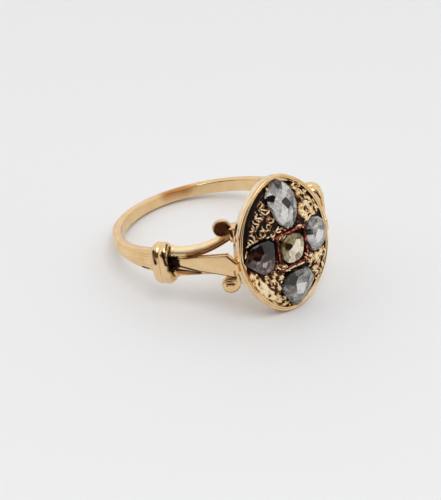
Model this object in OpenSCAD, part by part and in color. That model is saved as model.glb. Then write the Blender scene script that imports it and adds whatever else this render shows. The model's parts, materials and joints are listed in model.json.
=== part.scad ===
// Marquise ring lying on its side: a reeded gold hoop with double-roll collars, split
// shoulders with volutes and kite blades, and an oval box head that holds a domed plate
// with five rose-cut stones round a square red collet.

/* [Hoop] */
// Inside diameter of the hoop, the finger size
finger_d = 17; // [15:0.5:20]
// Width of the band at the back of the hoop
band_back_w = 1.04; // [1.0:0.02:1.3]
// Width of the band at the sides of the hoop
band_side_w = 1.46; // [1.4:0.02:1.6]
// Width of the band where it enters the collars
band_front_w = 2.1; // [1.8:0.1:2.4]
// Thickness of the band along its crown
band_t = 0.91; // [0.85:0.01:1.1]
// How much thinner the band is at its widest edges
band_crown = 0.32; // [0.2:0.02:0.4]
// Number of reeding grooves on each side of the hoop
groove_count = 4; // [2:1:6]
// Depth of a reeding groove
groove_depth = 0.08; // [0.04:0.01:0.12]

/* [Collars] */
// Angle of the near collar from the head, round the finger
collar_angle = 67.8; // [67.2:0.2:67.8]
// Angle of the far collar from the head, round the finger
collar_far_angle = 60; // [59.5:0.25:60.5]
// Angle between the two rolls of a collar
roll_pitch = 4.4; // [4.2:0.1:4.8]
// Thickness of one roll
roll_t = 1.08; // [1.04:0.02:1.14]
// Width of a collar along the finger
roll_w = 3.9; // [3.8:0.02:4.1]
// Height of a near roll's crown over the inside of the hoop
roll_height = 1.52; // [1.4:0.02:1.6]
// Height of a far roll's crown over the inside of the hoop
roll_far_height = 2.2; // [2.1:0.05:2.25]
// Radius of a roll's corners, along its middle line
roll_corner_r = 0.6; // [0.6:0.02:0.8]
// How far the near collar leans towards the head at its top
collar_lean = 0; // [-1:0.5:1]
// How far the far collar leans towards the head at its top
collar_far_lean = 12; // [8:0.5:13]
// How far a collar sits under the middle of the hoop
collar_drop = 0.3; // [0:0.05:0.35]

/* [Shoulders] */
// Thickness of the two outer branches of a shoulder
branch_t = 0.8; // [0.75:0.05:0.9]
// Width of a branch
branch_w = 0.86; // [0.82:0.02:1]
// Radius of the curve that a branch follows
branch_bend_r = 10; // [9.5:0.25:12]
// Angle from the head where a branch starts to curve away
branch_bend_angle = 55; // [54:0.1:57]
// Height of a branch over the middle of the hoop at its start
branch_start_h = 0.84; // [0.8:0.01:0.95]
// Angle of a volute from the head
volute_angle = 30.4; // [29:0.1:32]
// Height of a volute over the middle of the hoop
volute_h = 2.74; // [2.6:0.02:2.9]
// Radius of a volute
volute_r = 0.74; // [0.68:0.01:0.78]
// Height of a volute's face over the inside of the hoop
volute_face = 1.0; // [0.95:0.05:1.2]
// Thickness of a volute
volute_t = 0.55; // [0.5:0.05:0.7]
// Depth of the cup in an upper volute
cup_depth = 0.2; // [0.1:0.02:0.3]
// Thickness of a blade
blade_t = 0.5; // [0.4:0.05:0.6]
// Half width of a blade at its shoulder corners
blade_half_w = 0.96; // [0.9:0.02:1.1]
// How far the near blade sits under the middle of the hoop
blade_drop = 0.12; // [0:0.02:0.14]

/* [Head] */
// Length of the oval head
head_l = 12.98; // [12.6:0.02:13.4]
// Width of the oval head
head_w = 10.28; // [10:0.02:10.6]
// Radius of the rounded tips of the oval
tip_r = 3.14; // [3.0:0.02:3.4]
// Distance from the finger's axis to the back of the head
head_back_u = 9.2; // [9.1:0.05:9.25]
// Distance from the finger's axis to the front of the rim
rim_front_u = 10.51; // [10.4:0.01:10.6]
// Depth of the rim's lip
lip_depth = 0.45; // [0.3:0.05:0.6]
// How far the lip stands out from the wall under it
lip_out = 0.14; // [0.1:0.02:0.2]
// Depth of the foot under the wall
foot_depth = 0.4; // [0.3:0.05:0.5]
// How far the foot is set in under the lip
foot_in = 0.34; // [0.3:0.02:0.4]
// Width of the rim round the plate
rim_w = 0.42; // [0.4:0.01:0.46]
// Thickness of the closed back of the head
back_t = 0.25; // [0.2:0.05:0.3]

/* [Plate] */
// Radius of the plate's dome
dome_r = 16; // [15:0.5:18]
// Distance from the finger's axis to the top of the dome
dome_top_u = 11.4; // [11.35:0.05:11.5]
// Thickness of the plate
plate_t = 0.65; // [0.6:0.05:0.7]
// Radius of a raised grain
grain_r = 0.17; // [0.12:0.01:0.2]
// Radius of a raised curl
curl_r = 0.24; // [0.18:0.02:0.28]
// Thickness of a curl's wire
curl_t = 0.16; // [0.12:0.02:0.2]

/* [Stones] */
// Depth that a stone is let into the plate
seat_depth = 0.35; // [0.3:0.01:0.4]
// Height of a stone's table over the plate
table_h = 0.5; // [0.4:0.05:0.7]
// Width of the square collet round the middle stone
collet_w = 3.44; // [3.4:0.02:3.5]
// Width of the collet's bars
collet_bar = 0.3; // [0.24:0.02:0.3]
// Height of the collet's bars over the plate
collet_h = 0.28; // [0.2:0.02:0.34]
// Gap between pieces that are set into each other
set_gap = 0.05; // [0.04:0.01:0.08]

/* [Hidden] */
$fn = 96;
finger_r = finger_d / 2;
over = 0.02;
gold = "#dcae6c";
gold_dark = "#8a6334";

// The lip's front edge is softened by this much
lip_edge = 0.05;

// The crown of the band is an arc through its middle and its widest edges
band_half = band_front_w / 2 + 0.1;
crown_r = (band_half * band_half + band_crown * band_crown) / (2 * band_crown);
function band_thickness(w) = band_t - crown_r + sqrt(crown_r * crown_r - w * w);
hoop_r = finger_r + band_t;
collar_u = finger_r * cos(collar_angle);
collar_far_u = finger_r * cos(collar_far_angle);

// The head is an oval of four arcs, two long sides and two tips
head_a = head_l / 2;
head_b = head_w / 2;
side_r = (head_a * head_a + head_b * head_b - 2 * head_a * tip_r) / (2 * (head_b - tip_r));
tip_c = head_a - tip_r;
side_c = side_r - head_b;
turn_a = atan2(tip_c, side_c);
function side_arc(g, s, n) = [for (i = [0 : n - 1]) let (t = -turn_a + 2 * turn_a * i / n)
    [s * ((side_r + g) * cos(t) - side_c), s * (side_r + g) * sin(t)]];
function tip_arc(g, s, n) = [for (i = [0 : n - 1]) let (t = turn_a + (180 - 2 * turn_a) * i / n)
    [s * (tip_r + g) * cos(t), s * (tip_c + (tip_r + g) * sin(t))]];
function oval(g, n = 18) = concat(side_arc(g, 1, n), tip_arc(g, 1, n), side_arc(g, -1, n), tip_arc(g, -1, n));

// The ring rests on the lower tip of its head and on the lower edge at the back of its hoop
foot_h = band_back_w / 2;
foot_u = finger_r + band_thickness(foot_h);
lean = max(atan((head_a - foot_h) / (rim_front_u - lip_depth + foot_u)),
           atan((head_a - lip_out - foot_h) / (head_back_u + foot_depth + foot_u)));
lift = foot_u * sin(lean) + foot_h * cos(lean);

// Stones: place across the head, place along it, half sizes, point at one end, turn
STONE_ACROSS = 0;
STONE_ALONG = 1;
STONE_HALF_W = 2;
STONE_HALF_L = 3;
STONE_POINT = 4;
STONE_TURN = 5;
STONES = [
    [0.15, 3.84, 1.5, 2.02, 0.16, 0],
    [0.43, -4.18, 1.72, 1.62, -0.08, 20],
    [-3.16, -0.14, 1.48, 1.37, 0.26, 90],
    [3.2, -0.02, 1.52, 1.33, 0, 90],
    [0.12, -0.25, 1.3, 1.3, 0, 0]];
STONE_SIDES = 12;
GIRDLE_H = 0.06;
RING_SCALE = [1, 1, 0.78, 0.42];
ring_h = [set_gap - seat_depth, GIRDLE_H, table_h * 0.68, table_h];
collet_at = [0.1, -0.27];

// The lower stone's table is the part of the head that reaches furthest from the hoop's back
low_stone = STONES[1];
reach_h = low_stone[STONE_ALONG];
reach_u = dome_top_u - dome_r + (dome_r + table_h) * cos(asin(reach_h / dome_r));
reach = reach_u * cos(lean) - (reach_h - 0.6) * sin(lean);
centre_x = (reach - foot_u * cos(lean) - foot_h * sin(lean)) / 2;

// A point of a stone's outline at an angle from its pointed end, a bit grown
function rim_point(s, a, k, grow) = let (
        y = (s[STONE_HALF_L] + grow) * cos(a) * k,
        x = (s[STONE_HALF_W] + grow) * sin(a) * (1 - s[STONE_POINT] * cos(a)) * k)
    [x * cos(s[STONE_TURN]) - y * sin(s[STONE_TURN]), x * sin(s[STONE_TURN]) + y * cos(s[STONE_TURN])];
// The middle stone is a cushion, so its outline is a rounded square
function cushion_point(s, a, k, grow) = let (
        m = (s[STONE_HALF_W] + grow) * k / pow(pow(abs(cos(a)), 4) + pow(abs(sin(a)), 4), 0.25))
    [m * sin(a), m * cos(a)];
function outline(s, k = 1, grow = 0, shift = 0, n = STONE_SIDES) = [for (i = [0 : n - 1])
    let (a = -360 * (i + shift) / n)
    s == STONES[4] ? cushion_point(s, a, k, grow) : rim_point(s, a, k, grow)];

// Distance outside a stone's or the collet's outline, in parts of its half size
function off_stone(s, p) = let (
        d = p - [s[STONE_ACROSS], s[STONE_ALONG]],
        x = d[0] * cos(s[STONE_TURN]) + d[1] * sin(s[STONE_TURN]),
        y = -d[0] * sin(s[STONE_TURN]) + d[1] * cos(s[STONE_TURN]),
        c = y / norm([x, y, 0.001]))
    norm([x / (s[STONE_HALF_W] * (1 - s[STONE_POINT] * c) + 0.34), y / (s[STONE_HALF_L] + 0.34)]);
function off_collet(p) = max(abs(p[0] - collet_at[0]), abs(p[1] - collet_at[1])) / (collet_w / 2 + 0.34);
function is_clear(p) = off_collet(p) > 1 && min([for (s = STONES) off_stone(s, p)]) > 1;

// Rows of relief follow the rim: curls in the quarter over the left stone, grains elsewhere
ROW_STEPS = [36, 30, 24, 18];
ROW_INSETS = [0.95, 1.5, 2.05, 2.6];
CURL_ROWS = 2;
function row_point(row, i) = let (
        a = 360 * i / ROW_STEPS[row],
        g = ROW_INSETS[row])
    [(head_b - g) * cos(a), (head_a - g) * sin(a)];
function in_curl_quarter(p) = p[0] < -0.3 && p[1] > 0.6;
places = [for (row = [0 : len(ROW_STEPS) - 1]) for (i = [0 : ROW_STEPS[row] - 1])
    let (p = row_point(row, i)) if (is_clear(p)) [p[0], p[1], row]];
grain_places = [for (p = places) if (!in_curl_quarter(p)) p];
curl_places = [for (p = places) if (in_curl_quarter(p)) p];

// Leans the standing ring over into the place where it rests
module resting() {
    translate([-centre_x, 0, lift]) rotate([0, -lean, 0]) children();
}

// Turns work drawn in the plane across and along the head to face away from the finger
module facing_out(u) {
    translate([u, 0, 0]) rotate([90, 0, 90]) children();
}

// Carries work to a place on the plate's dome, facing away from the finger
module on_dome(across, along) {
    translate([dome_top_u - dome_r, 0, 0])
        rotate([0, 0, asin(across / dome_r)])
            rotate([0, -asin(along / dome_r), 0])
                facing_out(dome_r) children();
}

// Carries work to an angle round the finger, with the x axis pointing outwards
module at_angle(a, r = 0) {
    rotate([0, 0, a]) translate([r, 0, 0]) children();
}

// Section of the band: flat inside, an arc outside
module band_section() {
    intersection() {
        translate([hoop_r - crown_r, 0]) circle(crown_r);
        translate([finger_r, -band_half]) square([band_t + over, 2 * band_half]);
    }
}

// The band narrows evenly from the collars to its back, and ends under each of them
module band() {
    side_u = -1.5;
    back_half = band_back_w / 2;
    side_half = band_side_w / 2;
    front_half = band_front_w / 2;
    difference() {
        intersection() {
            rotate_extrude() band_section();
            rotate([90, 0, 0])
                linear_extrude(4 * finger_r, center = true)
                    polygon([[-hoop_r - 1, -back_half], [side_u, -side_half], [collar_u, -front_half],
                             [collar_far_u, -front_half], [collar_far_u, front_half],
                             [collar_u, front_half], [side_u, side_half], [-hoop_r - 1, back_half]]);
        }
        translate([collar_u, -2 * finger_r, -band_front_w])
            cube([finger_r, 2 * finger_r, 2 * band_front_w]);
    }
}

// Reeding on one side of the hoop, from its collar towards the back
module reeding(side) {
    span = 40;
    start = side > 0 ? collar_far_angle + 4 : -collar_angle - 4 - span;
    pitch = band_front_w / (groove_count + 1);
    rotate([0, 0, start])
        for (i = [0 : groove_count - 1]) {
            w = (i - (groove_count - 1) / 2) * pitch;
            rotate_extrude(angle = span)
                translate([finger_r + band_thickness(w), w])
                    rotate(45) square(groove_depth * sqrt(2), center = true);
        }
}

// One roll of a collar: a round bar bent over the band, with its ends cut off by the bore
module collar_roll(a, height) {
    bar_r = roll_t / 2;
    top = finger_r + height - bar_r;
    corner_c = top - roll_corner_r;
    side = roll_w / 2 - bar_r;
    side_c = side - roll_corner_r;
    at_angle(a) {
        translate([top, 0, 0]) cylinder(h = 2 * side_c, r = bar_r, center = true);
        for (level = [-1, 1]) {
            translate([corner_c, 0, level * side_c])
                mirror([0, 0, level > 0 ? 0 : 1])
                    rotate([90, 0, 0])
                        rotate_extrude(angle = 90) translate([roll_corner_r, 0]) circle(bar_r);
            translate([finger_r - 1, 0, level * side])
                rotate([0, 90, 0]) cylinder(h = corner_c - finger_r + 1, r = bar_r);
        }
    }
}

// Two rolls side by side, set low, on the far side with their tops leaning towards the head
module collar(side) {
    turn = side > 0 ? collar_far_angle : -collar_angle;
    height = side > 0 ? roll_far_height : roll_height;
    tip = side > 0 ? collar_far_lean : -collar_lean;
    at_angle(turn)
        translate([0, 0, -collar_drop])
            rotate([tip, 0, 0])
                for (step = [-0.5, 0.5]) collar_roll(step * roll_pitch, height);
}

// One outer branch, cut from a shell round the finger, from the collar to the head
module branch(side, level) {
    reach_in = 3.6;
    reach_on = 5.6;
    reach_back = 1.2;
    intersection() {
        at_angle(side * branch_bend_angle)
            rotate([90, 0, 90])
                linear_extrude(2 * finger_r)
                    intersection() {
                        translate([0, level * (branch_start_h + branch_bend_r)])
                            difference() {
                                circle(branch_bend_r + branch_w / 2);
                                circle(branch_bend_r - branch_w / 2);
                            }
                        translate([side > 0 ? -reach_on : -reach_back, level > 0 ? 0 : -reach_in])
                            square([reach_on + reach_back, reach_in]);
                    }
        rotate_extrude()
            translate([finger_r - over, -reach_in]) square([branch_t + over, 2 * reach_in]);
    }
}

// The round end of a branch, a thin disc, and the neck that joins it to the head
module volute(side, level) {
    neck_span = 7.5;
    neck_start = 19.5;
    neck_low = 1.4;
    neck_w = 1.4;
    neck_t = 1.5;
    at_angle(side * volute_angle)
        translate([finger_r + volute_face - volute_t, 0, level * volute_h])
            rotate([0, 90, 0])
                difference() {
                    cylinder(h = volute_t, r = volute_r);
                    if (level > 0)
                        translate([0, 0, volute_t - cup_depth]) cylinder(h = 1, r = volute_r - 0.14);
                }
    rotate([0, 0, side > 0 ? neck_start : -neck_start - neck_span])
        rotate_extrude(angle = neck_span)
            translate([finger_r - 0.3, level > 0 ? neck_low : -neck_low - neck_w])
                square([neck_t + 0.3, neck_w]);
}

// Three engraved dashes in the face of a lower volute
module volute_dashes(side) {
    for (i = [-1 : 1])
        at_angle(side * volute_angle)
            translate([finger_r + volute_face, 0, -volute_h + 0.1 + i * 0.22])
                rotate([0, 45, 0]) cube([0.1, 0.55, 0.1], center = true);
}

// The kite-shaped strip between the branches, a flat blade that rises to the rim
module blade(side) {
    root = [4.7, -8.14];
    end = [10.35, -5.42];
    run = end - root;
    length = norm(run);
    corner = 5.5;
    root_half = 0.3;
    end_half = 0.2;
    mirror([0, side > 0 ? 1 : 0, 0])
        translate([root[0], root[1], side > 0 ? 0 : -blade_drop])
            rotate([90, 0, atan2(run[1], run[0])])
                translate([0, 0, -blade_t])
                    linear_extrude(blade_t)
                        polygon([[0, -root_half], [corner, -blade_half_w], [length, -end_half],
                                 [length, end_half], [corner, blade_half_w], [0, root_half]]);
}

// The oval box with its foot, wall and lip, its recess and its closed back
module head_box() {
    difference() {
        union() {
            facing_out(head_back_u) linear_extrude(foot_depth + over) polygon(oval(-foot_in));
            facing_out(head_back_u + foot_depth)
                linear_extrude(rim_front_u - head_back_u - foot_depth - lip_depth / 2)
                    polygon(oval(-lip_out));
            facing_out(rim_front_u - lip_depth) linear_extrude(lip_depth * 0.85) polygon(oval(0));
            facing_out(rim_front_u - lip_depth * 0.4) linear_extrude(lip_depth * 0.4) polygon(oval(-lip_edge));
        }
        facing_out(head_back_u + back_t) linear_extrude(4) polygon(oval(-rim_w));
    }
}

// The soldered gold work of the ring, one solid
module ring_mount() {
    color(gold)
        resting()
            difference() {
                union() {
                    difference() {
                        band();
                        reeding(1);
                        reeding(-1);
                    }
                    for (side = [-1, 1]) {
                        collar(side);
                        for (level = [-1, 1]) {
                            branch(side, level);
                            volute(side, level);
                        }
                        blade(side);
                    }
                    head_box();
                }
                cylinder(h = 4 * head_a, r = finger_r, center = true, $fn = 180);
                for (side = [-1, 1]) volute_dashes(side);
            }
}

// A raised curl, three quarters of a small ring of wire
module curl(p) {
    sink = 0.02;
    on_dome(p[0], p[1])
        translate([0, 0, -sink])
            rotate(atan2(p[1], p[0]) + 40 * p[2])
                rotate_extrude(angle = 250, $fn = 24) translate([curl_r, 0]) circle(curl_t / 2, $fn = 16);
}

// The pocket in the plate that a stone is let into
module seat(s) {
    on_dome(s[STONE_ACROSS], s[STONE_ALONG])
        translate([0, 0, -seat_depth])
            linear_extrude(2) polygon(outline(s, 1, set_gap));
}

// The domed plate with its raised grains and curls and the seats of its stones
module stone_plate() {
    dome_c = dome_top_u - dome_r;
    color(gold_dark)
        resting()
            difference() {
                union() {
                    intersection() {
                        facing_out(head_back_u + back_t + 0.1)
                            linear_extrude(3) polygon(oval(-rim_w - set_gap));
                        difference() {
                            translate([dome_c, 0, 0]) sphere(dome_r, $fn = 180);
                            translate([dome_c, 0, 0]) sphere(dome_r - plate_t, $fn = 180);
                        }
                    }
                    for (p = grain_places) on_dome(p[0], p[1]) sphere(grain_r, $fn = 16);
                    for (p = curl_places) curl(p);
                }
                for (s = STONES) seat(s);
                on_dome(collet_at[0], collet_at[1])
                    translate([0, 0, -seat_depth / 2])
                        linear_extrude(2) square(collet_w + 2 * set_gap, center = true);
            }
}

// The raised square frame of red metal round the middle stone
module centre_collet() {
    color("#a3453a")
        resting()
            on_dome(collet_at[0], collet_at[1])
                difference() {
                    translate([0, 0, set_gap - seat_depth / 2])
                        linear_extrude(collet_h + seat_depth / 2 - set_gap) square(collet_w, center = true);
                    translate([0, 0, -1])
                        linear_extrude(3) square(collet_w - 2 * collet_bar, center = true);
                }
}

// A rose-cut stone: a flat base, a girdle, two rows of triangular facets and a table
module cut_stone(s) {
    n = STONE_SIDES;
    points = [for (r = [0 : 3]) for (q = outline(s, RING_SCALE[r], 0, max(0, r - 1) / 2)) [q[0], q[1], ring_h[r]]];
    faces = concat(
        [[for (i = [n - 1 : -1 : 0]) i]],
        [for (r = [0 : 2]) for (i = [0 : n - 1]) let (j = (i + 1) % n) [r * n + i, r * n + j, (r + 1) * n + i]],
        [for (r = [0 : 2]) for (i = [0 : n - 1]) let (j = (i + 1) % n)
            [(r + 1) * n + i, r * n + j, (r + 1) * n + j]],
        [[for (i = [0 : n - 1]) 3 * n + i]]);
    on_dome(s[STONE_ACROSS], s[STONE_ALONG]) polyhedron(points, faces);
}

module stone_top() {
    color("#b9c0c4") resting() cut_stone(STONES[0]);
}

module stone_bottom() {
    color("#8d8f92") resting() cut_stone(STONES[1]);
}

module stone_left() {
    color("#3a3233") resting() cut_stone(STONES[2]);
}

module stone_right() {
    color("#a4a9ac") resting() cut_stone(STONES[3]);
}

module stone_centre() {
    color("#b3ab78") resting() cut_stone(STONES[4]);
}

ring_mount();
stone_plate();
centre_collet();
stone_top();
stone_bottom();
stone_left();
stone_right();
stone_centre();
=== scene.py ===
"""Looks of an oval-headed gold finger ring that lies on its side.

Sizes are in millimetres along the ring's own axes: x from the finger's axis to the head, y across
the shoulders with the near shoulder on the negative side, and z along the finger. RingAxes
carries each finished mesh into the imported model's frame.
"""

import json
import logging
import math
import random
from dataclasses import dataclass
from enum import Enum
from typing import Sequence

import bmesh
import bpy
from mathutils import Matrix, Vector, noise


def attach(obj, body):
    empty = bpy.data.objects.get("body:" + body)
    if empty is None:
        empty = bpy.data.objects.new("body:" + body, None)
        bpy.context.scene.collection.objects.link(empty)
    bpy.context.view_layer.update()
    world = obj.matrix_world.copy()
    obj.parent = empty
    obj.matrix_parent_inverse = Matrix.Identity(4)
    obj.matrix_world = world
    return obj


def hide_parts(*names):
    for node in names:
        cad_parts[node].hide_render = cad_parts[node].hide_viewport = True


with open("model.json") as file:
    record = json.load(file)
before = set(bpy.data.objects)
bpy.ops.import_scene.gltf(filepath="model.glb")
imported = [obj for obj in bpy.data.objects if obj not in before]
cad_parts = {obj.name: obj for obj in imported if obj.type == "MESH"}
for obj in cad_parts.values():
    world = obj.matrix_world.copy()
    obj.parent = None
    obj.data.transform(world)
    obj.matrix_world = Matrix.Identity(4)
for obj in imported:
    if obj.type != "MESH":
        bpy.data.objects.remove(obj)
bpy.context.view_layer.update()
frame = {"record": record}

log = logging.getLogger("marquise_ring")
MM = 0.001
Pair = tuple[float, float]
Triple = tuple[float, float, float]
Color = Triple
Material = bpy.types.Material
Shape = bmesh.types.BMesh
Socket = bpy.types.NodeSocket
ORIGIN = (0.0, 0.0, 0.0)
NOISE_RANGE = (0.3, 0.7)


class Slot(Enum):
    """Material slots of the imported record."""

    GOLD = "gold"
    OXIDISED = "oxidised_gold"
    RED = "red_gold"
    GREY_STONE = "grey_stone"
    DARK_STONE = "dark_stone"
    OLIVE_STONE = "olive_stone"


class Side(Enum):
    """Shoulders of the ring, by the sign of their place across the ring."""

    NEAR = -1
    FAR = 1


class Level(Enum):
    """Upper and lower half of the ring along the finger, as it stands."""

    UPPER = 1
    LOWER = -1


@dataclass(frozen=True)
class RingAxes:
    """The ring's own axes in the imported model's frame.

    Attributes:
        to_row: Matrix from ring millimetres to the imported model's metres.
        finger_r: Radius of the finger's bore, in millimetres.
    """

    to_row: Matrix
    finger_r: float

    @classmethod
    def from_record(cls, record: dict) -> "RingAxes":
        """Reads the axes from the record's finger bore.

        Args:
            record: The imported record.

        Returns:
            The ring's axes.
        """
        bore = next(m for m in record["mounts"] if m["name"] == "finger_bore")
        along = Vector(bore["axis"]).normalized()
        across = Vector((0, 1, 0))
        turn = Matrix((across.cross(along), across, along)).transposed()
        place = Matrix.Translation(bore["pos_m"]) @ turn.to_4x4() @ Matrix.Scale(MM, 4)
        return cls(place, bore["dims"]["r_mm"])


@dataclass
class NodeSheet:
    """A shader node tree with short calls that add and join its nodes."""

    tree: bpy.types.NodeTree

    def add(self, kind: str, **values: object) -> bpy.types.Node:
        """Adds a node.

        Args:
            kind: The node's type name.
            values: Properties to set on the node.

        Returns:
            The new node.
        """
        node = self.tree.nodes.new(kind)
        for key, value in values.items():
            setattr(node, key, value)
        return node

    def feed(self, socket: Socket, source: object) -> None:
        """Links a socket to an output, or sets its constant value.

        Args:
            socket: The input socket.
            source: An output socket or a plain value.
        """
        if isinstance(source, Socket):
            self.tree.links.new(source, socket)
        else:
            socket.default_value = source

    def join(self, node: bpy.types.Node, **sources: object) -> bpy.types.Node:
        """Feeds several inputs of a node.

        Args:
            node: The node.
            sources: Outputs or plain values by the input's name, with underscores for spaces.

        Returns:
            The same node.
        """
        for name, source in sources.items():
            self.feed(node.inputs[name.replace("_", " ")], source)
        return node

    def use(self, group: bpy.types.NodeTree, **sources: object) -> bpy.types.Node:
        """Places a node group and feeds its inputs by name."""
        return self.join(self.add("ShaderNodeGroup", node_tree=group), **sources)

    def sum(self, operation: str, a: object, b: object = 0.5) -> Socket:
        """Adds a Math node.

        Args:
            operation: The node's operation, such as MULTIPLY.
            a: First value or socket.
            b: Second value or socket.

        Returns:
            The node's output.
        """
        node = self.add("ShaderNodeMath", operation=operation)
        self.feed(node.inputs[0], a)
        self.feed(node.inputs[1], b)
        return node.outputs[0]

    def vectors(self, operation: str, a: object, b: object) -> bpy.types.Node:
        """Adds a Vector Math node.

        Args:
            operation: The node's operation, such as DISTANCE.
            a: First vector or socket.
            b: Second vector or socket.

        Returns:
            The node, with its result in Vector or Value.
        """
        node = self.add("ShaderNodeVectorMath", operation=operation)
        self.feed(node.inputs[0], a)
        self.feed(node.inputs[1], b)
        return node

    def mix(self, share: object, a: object, b: object) -> Socket:
        """Adds a colour Mix node.

        Args:
            share: Share of the second colour.
            a: First colour or socket.
            b: Second colour or socket.

        Returns:
            The mixed colour.
        """
        node = self.add("ShaderNodeMix", data_type="RGBA")
        self.feed(node.inputs["Factor"], share)
        for socket, color in ((node.inputs[6], a), (node.inputs[7], b)):
            self.feed(socket, color if isinstance(color, Socket) else (*color, 1.0))
        return node.outputs[2]

    def ramp(self, source: object, stops: Sequence[tuple[float, Color]]) -> Socket:
        """Adds a Color Ramp node.

        Args:
            source: The value to look up.
            stops: Places and colours along the ramp.

        Returns:
            The ramp's colour.
        """
        node = self.add("ShaderNodeValToRGB")
        elements = node.color_ramp.elements
        while len(elements) < len(stops):
            elements.new(0.5)
        for element, (place, color) in zip(elements, stops):
            element.position = place
            element.color = (*color, 1.0)
        self.feed(node.inputs["Fac"], source)
        return node.outputs["Color"]

    def noise(self, vector: object, scale: float, detail: float = 3.0, warp: float = 0.0) -> Socket:
        """Adds a Noise Texture node.

        Args:
            vector: The coordinates to read.
            scale: Cells per unit of the coordinates.
            detail: Octaves of finer noise.
            warp: Distortion of the pattern.

        Returns:
            The noise value, about 0.5 on average.
        """
        node = self.add("ShaderNodeTexNoise")
        self.join(node, Vector=vector, Scale=scale, Detail=detail, Distortion=warp)
        return node.outputs["Fac"]

    def span(self, value: object, low: object, high: object, to_low: float = 0.0,
             to_high: float = 1.0) -> Socket:
        """Adds a clamped Map Range node.

        Args:
            value: The value to map.
            low: Start of the range.
            high: End of the range.
            to_low: Result at the start.
            to_high: Result at the end.

        Returns:
            The mapped value.
        """
        node = self.add("ShaderNodeMapRange")
        self.join(node, Value=value, From_Min=low, From_Max=high, To_Min=to_low, To_Max=to_high)
        return node.outputs["Result"]

    def cells(self, vector: object, scale: float, smooth: float = 0.12) -> Socket:
        """Adds a Voronoi Texture node with one value in each cell.

        Args:
            vector: The coordinates to read.
            scale: Cells per unit of the coordinates.
            smooth: How far the cells run into each other.

        Returns:
            The cell's value, from 0 to 1.
        """
        node = self.add("ShaderNodeTexVoronoi", feature="SMOOTH_F1")
        self.join(node, Vector=vector, Scale=scale, Smoothness=smooth)
        return self.sum("MULTIPLY", node.outputs["Color"], 1.0)  # makes one value of the cell's colour

    def bump(self, height: object, depth: float) -> Socket:
        """Adds a Bump node.

        Args:
            height: The height field, from 0 to 1.
            depth: Depth of the full height, in millimetres.

        Returns:
            The bumped normal.
        """
        return self.join(self.add("ShaderNodeBump"), Height=height, Distance=depth * MM).outputs["Normal"]


@dataclass(frozen=True)
class ShadeAndGrimePatch:
    """A place where painted shade and painted dark reflection lie over old deposits, the same on both
    shoulders.
    """

    centre: Triple
    radius: float
    ragged: float
    color: Color = (0.022, 0.009, 0.004)


@dataclass(frozen=True)
class Stroke:
    """A line of colour through points along the ring's own axes, for painted shade, soiling and painted warm
    reflections.
    """

    radius: float
    points: tuple[Triple, ...]
    inner: float = 0.4


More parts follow.
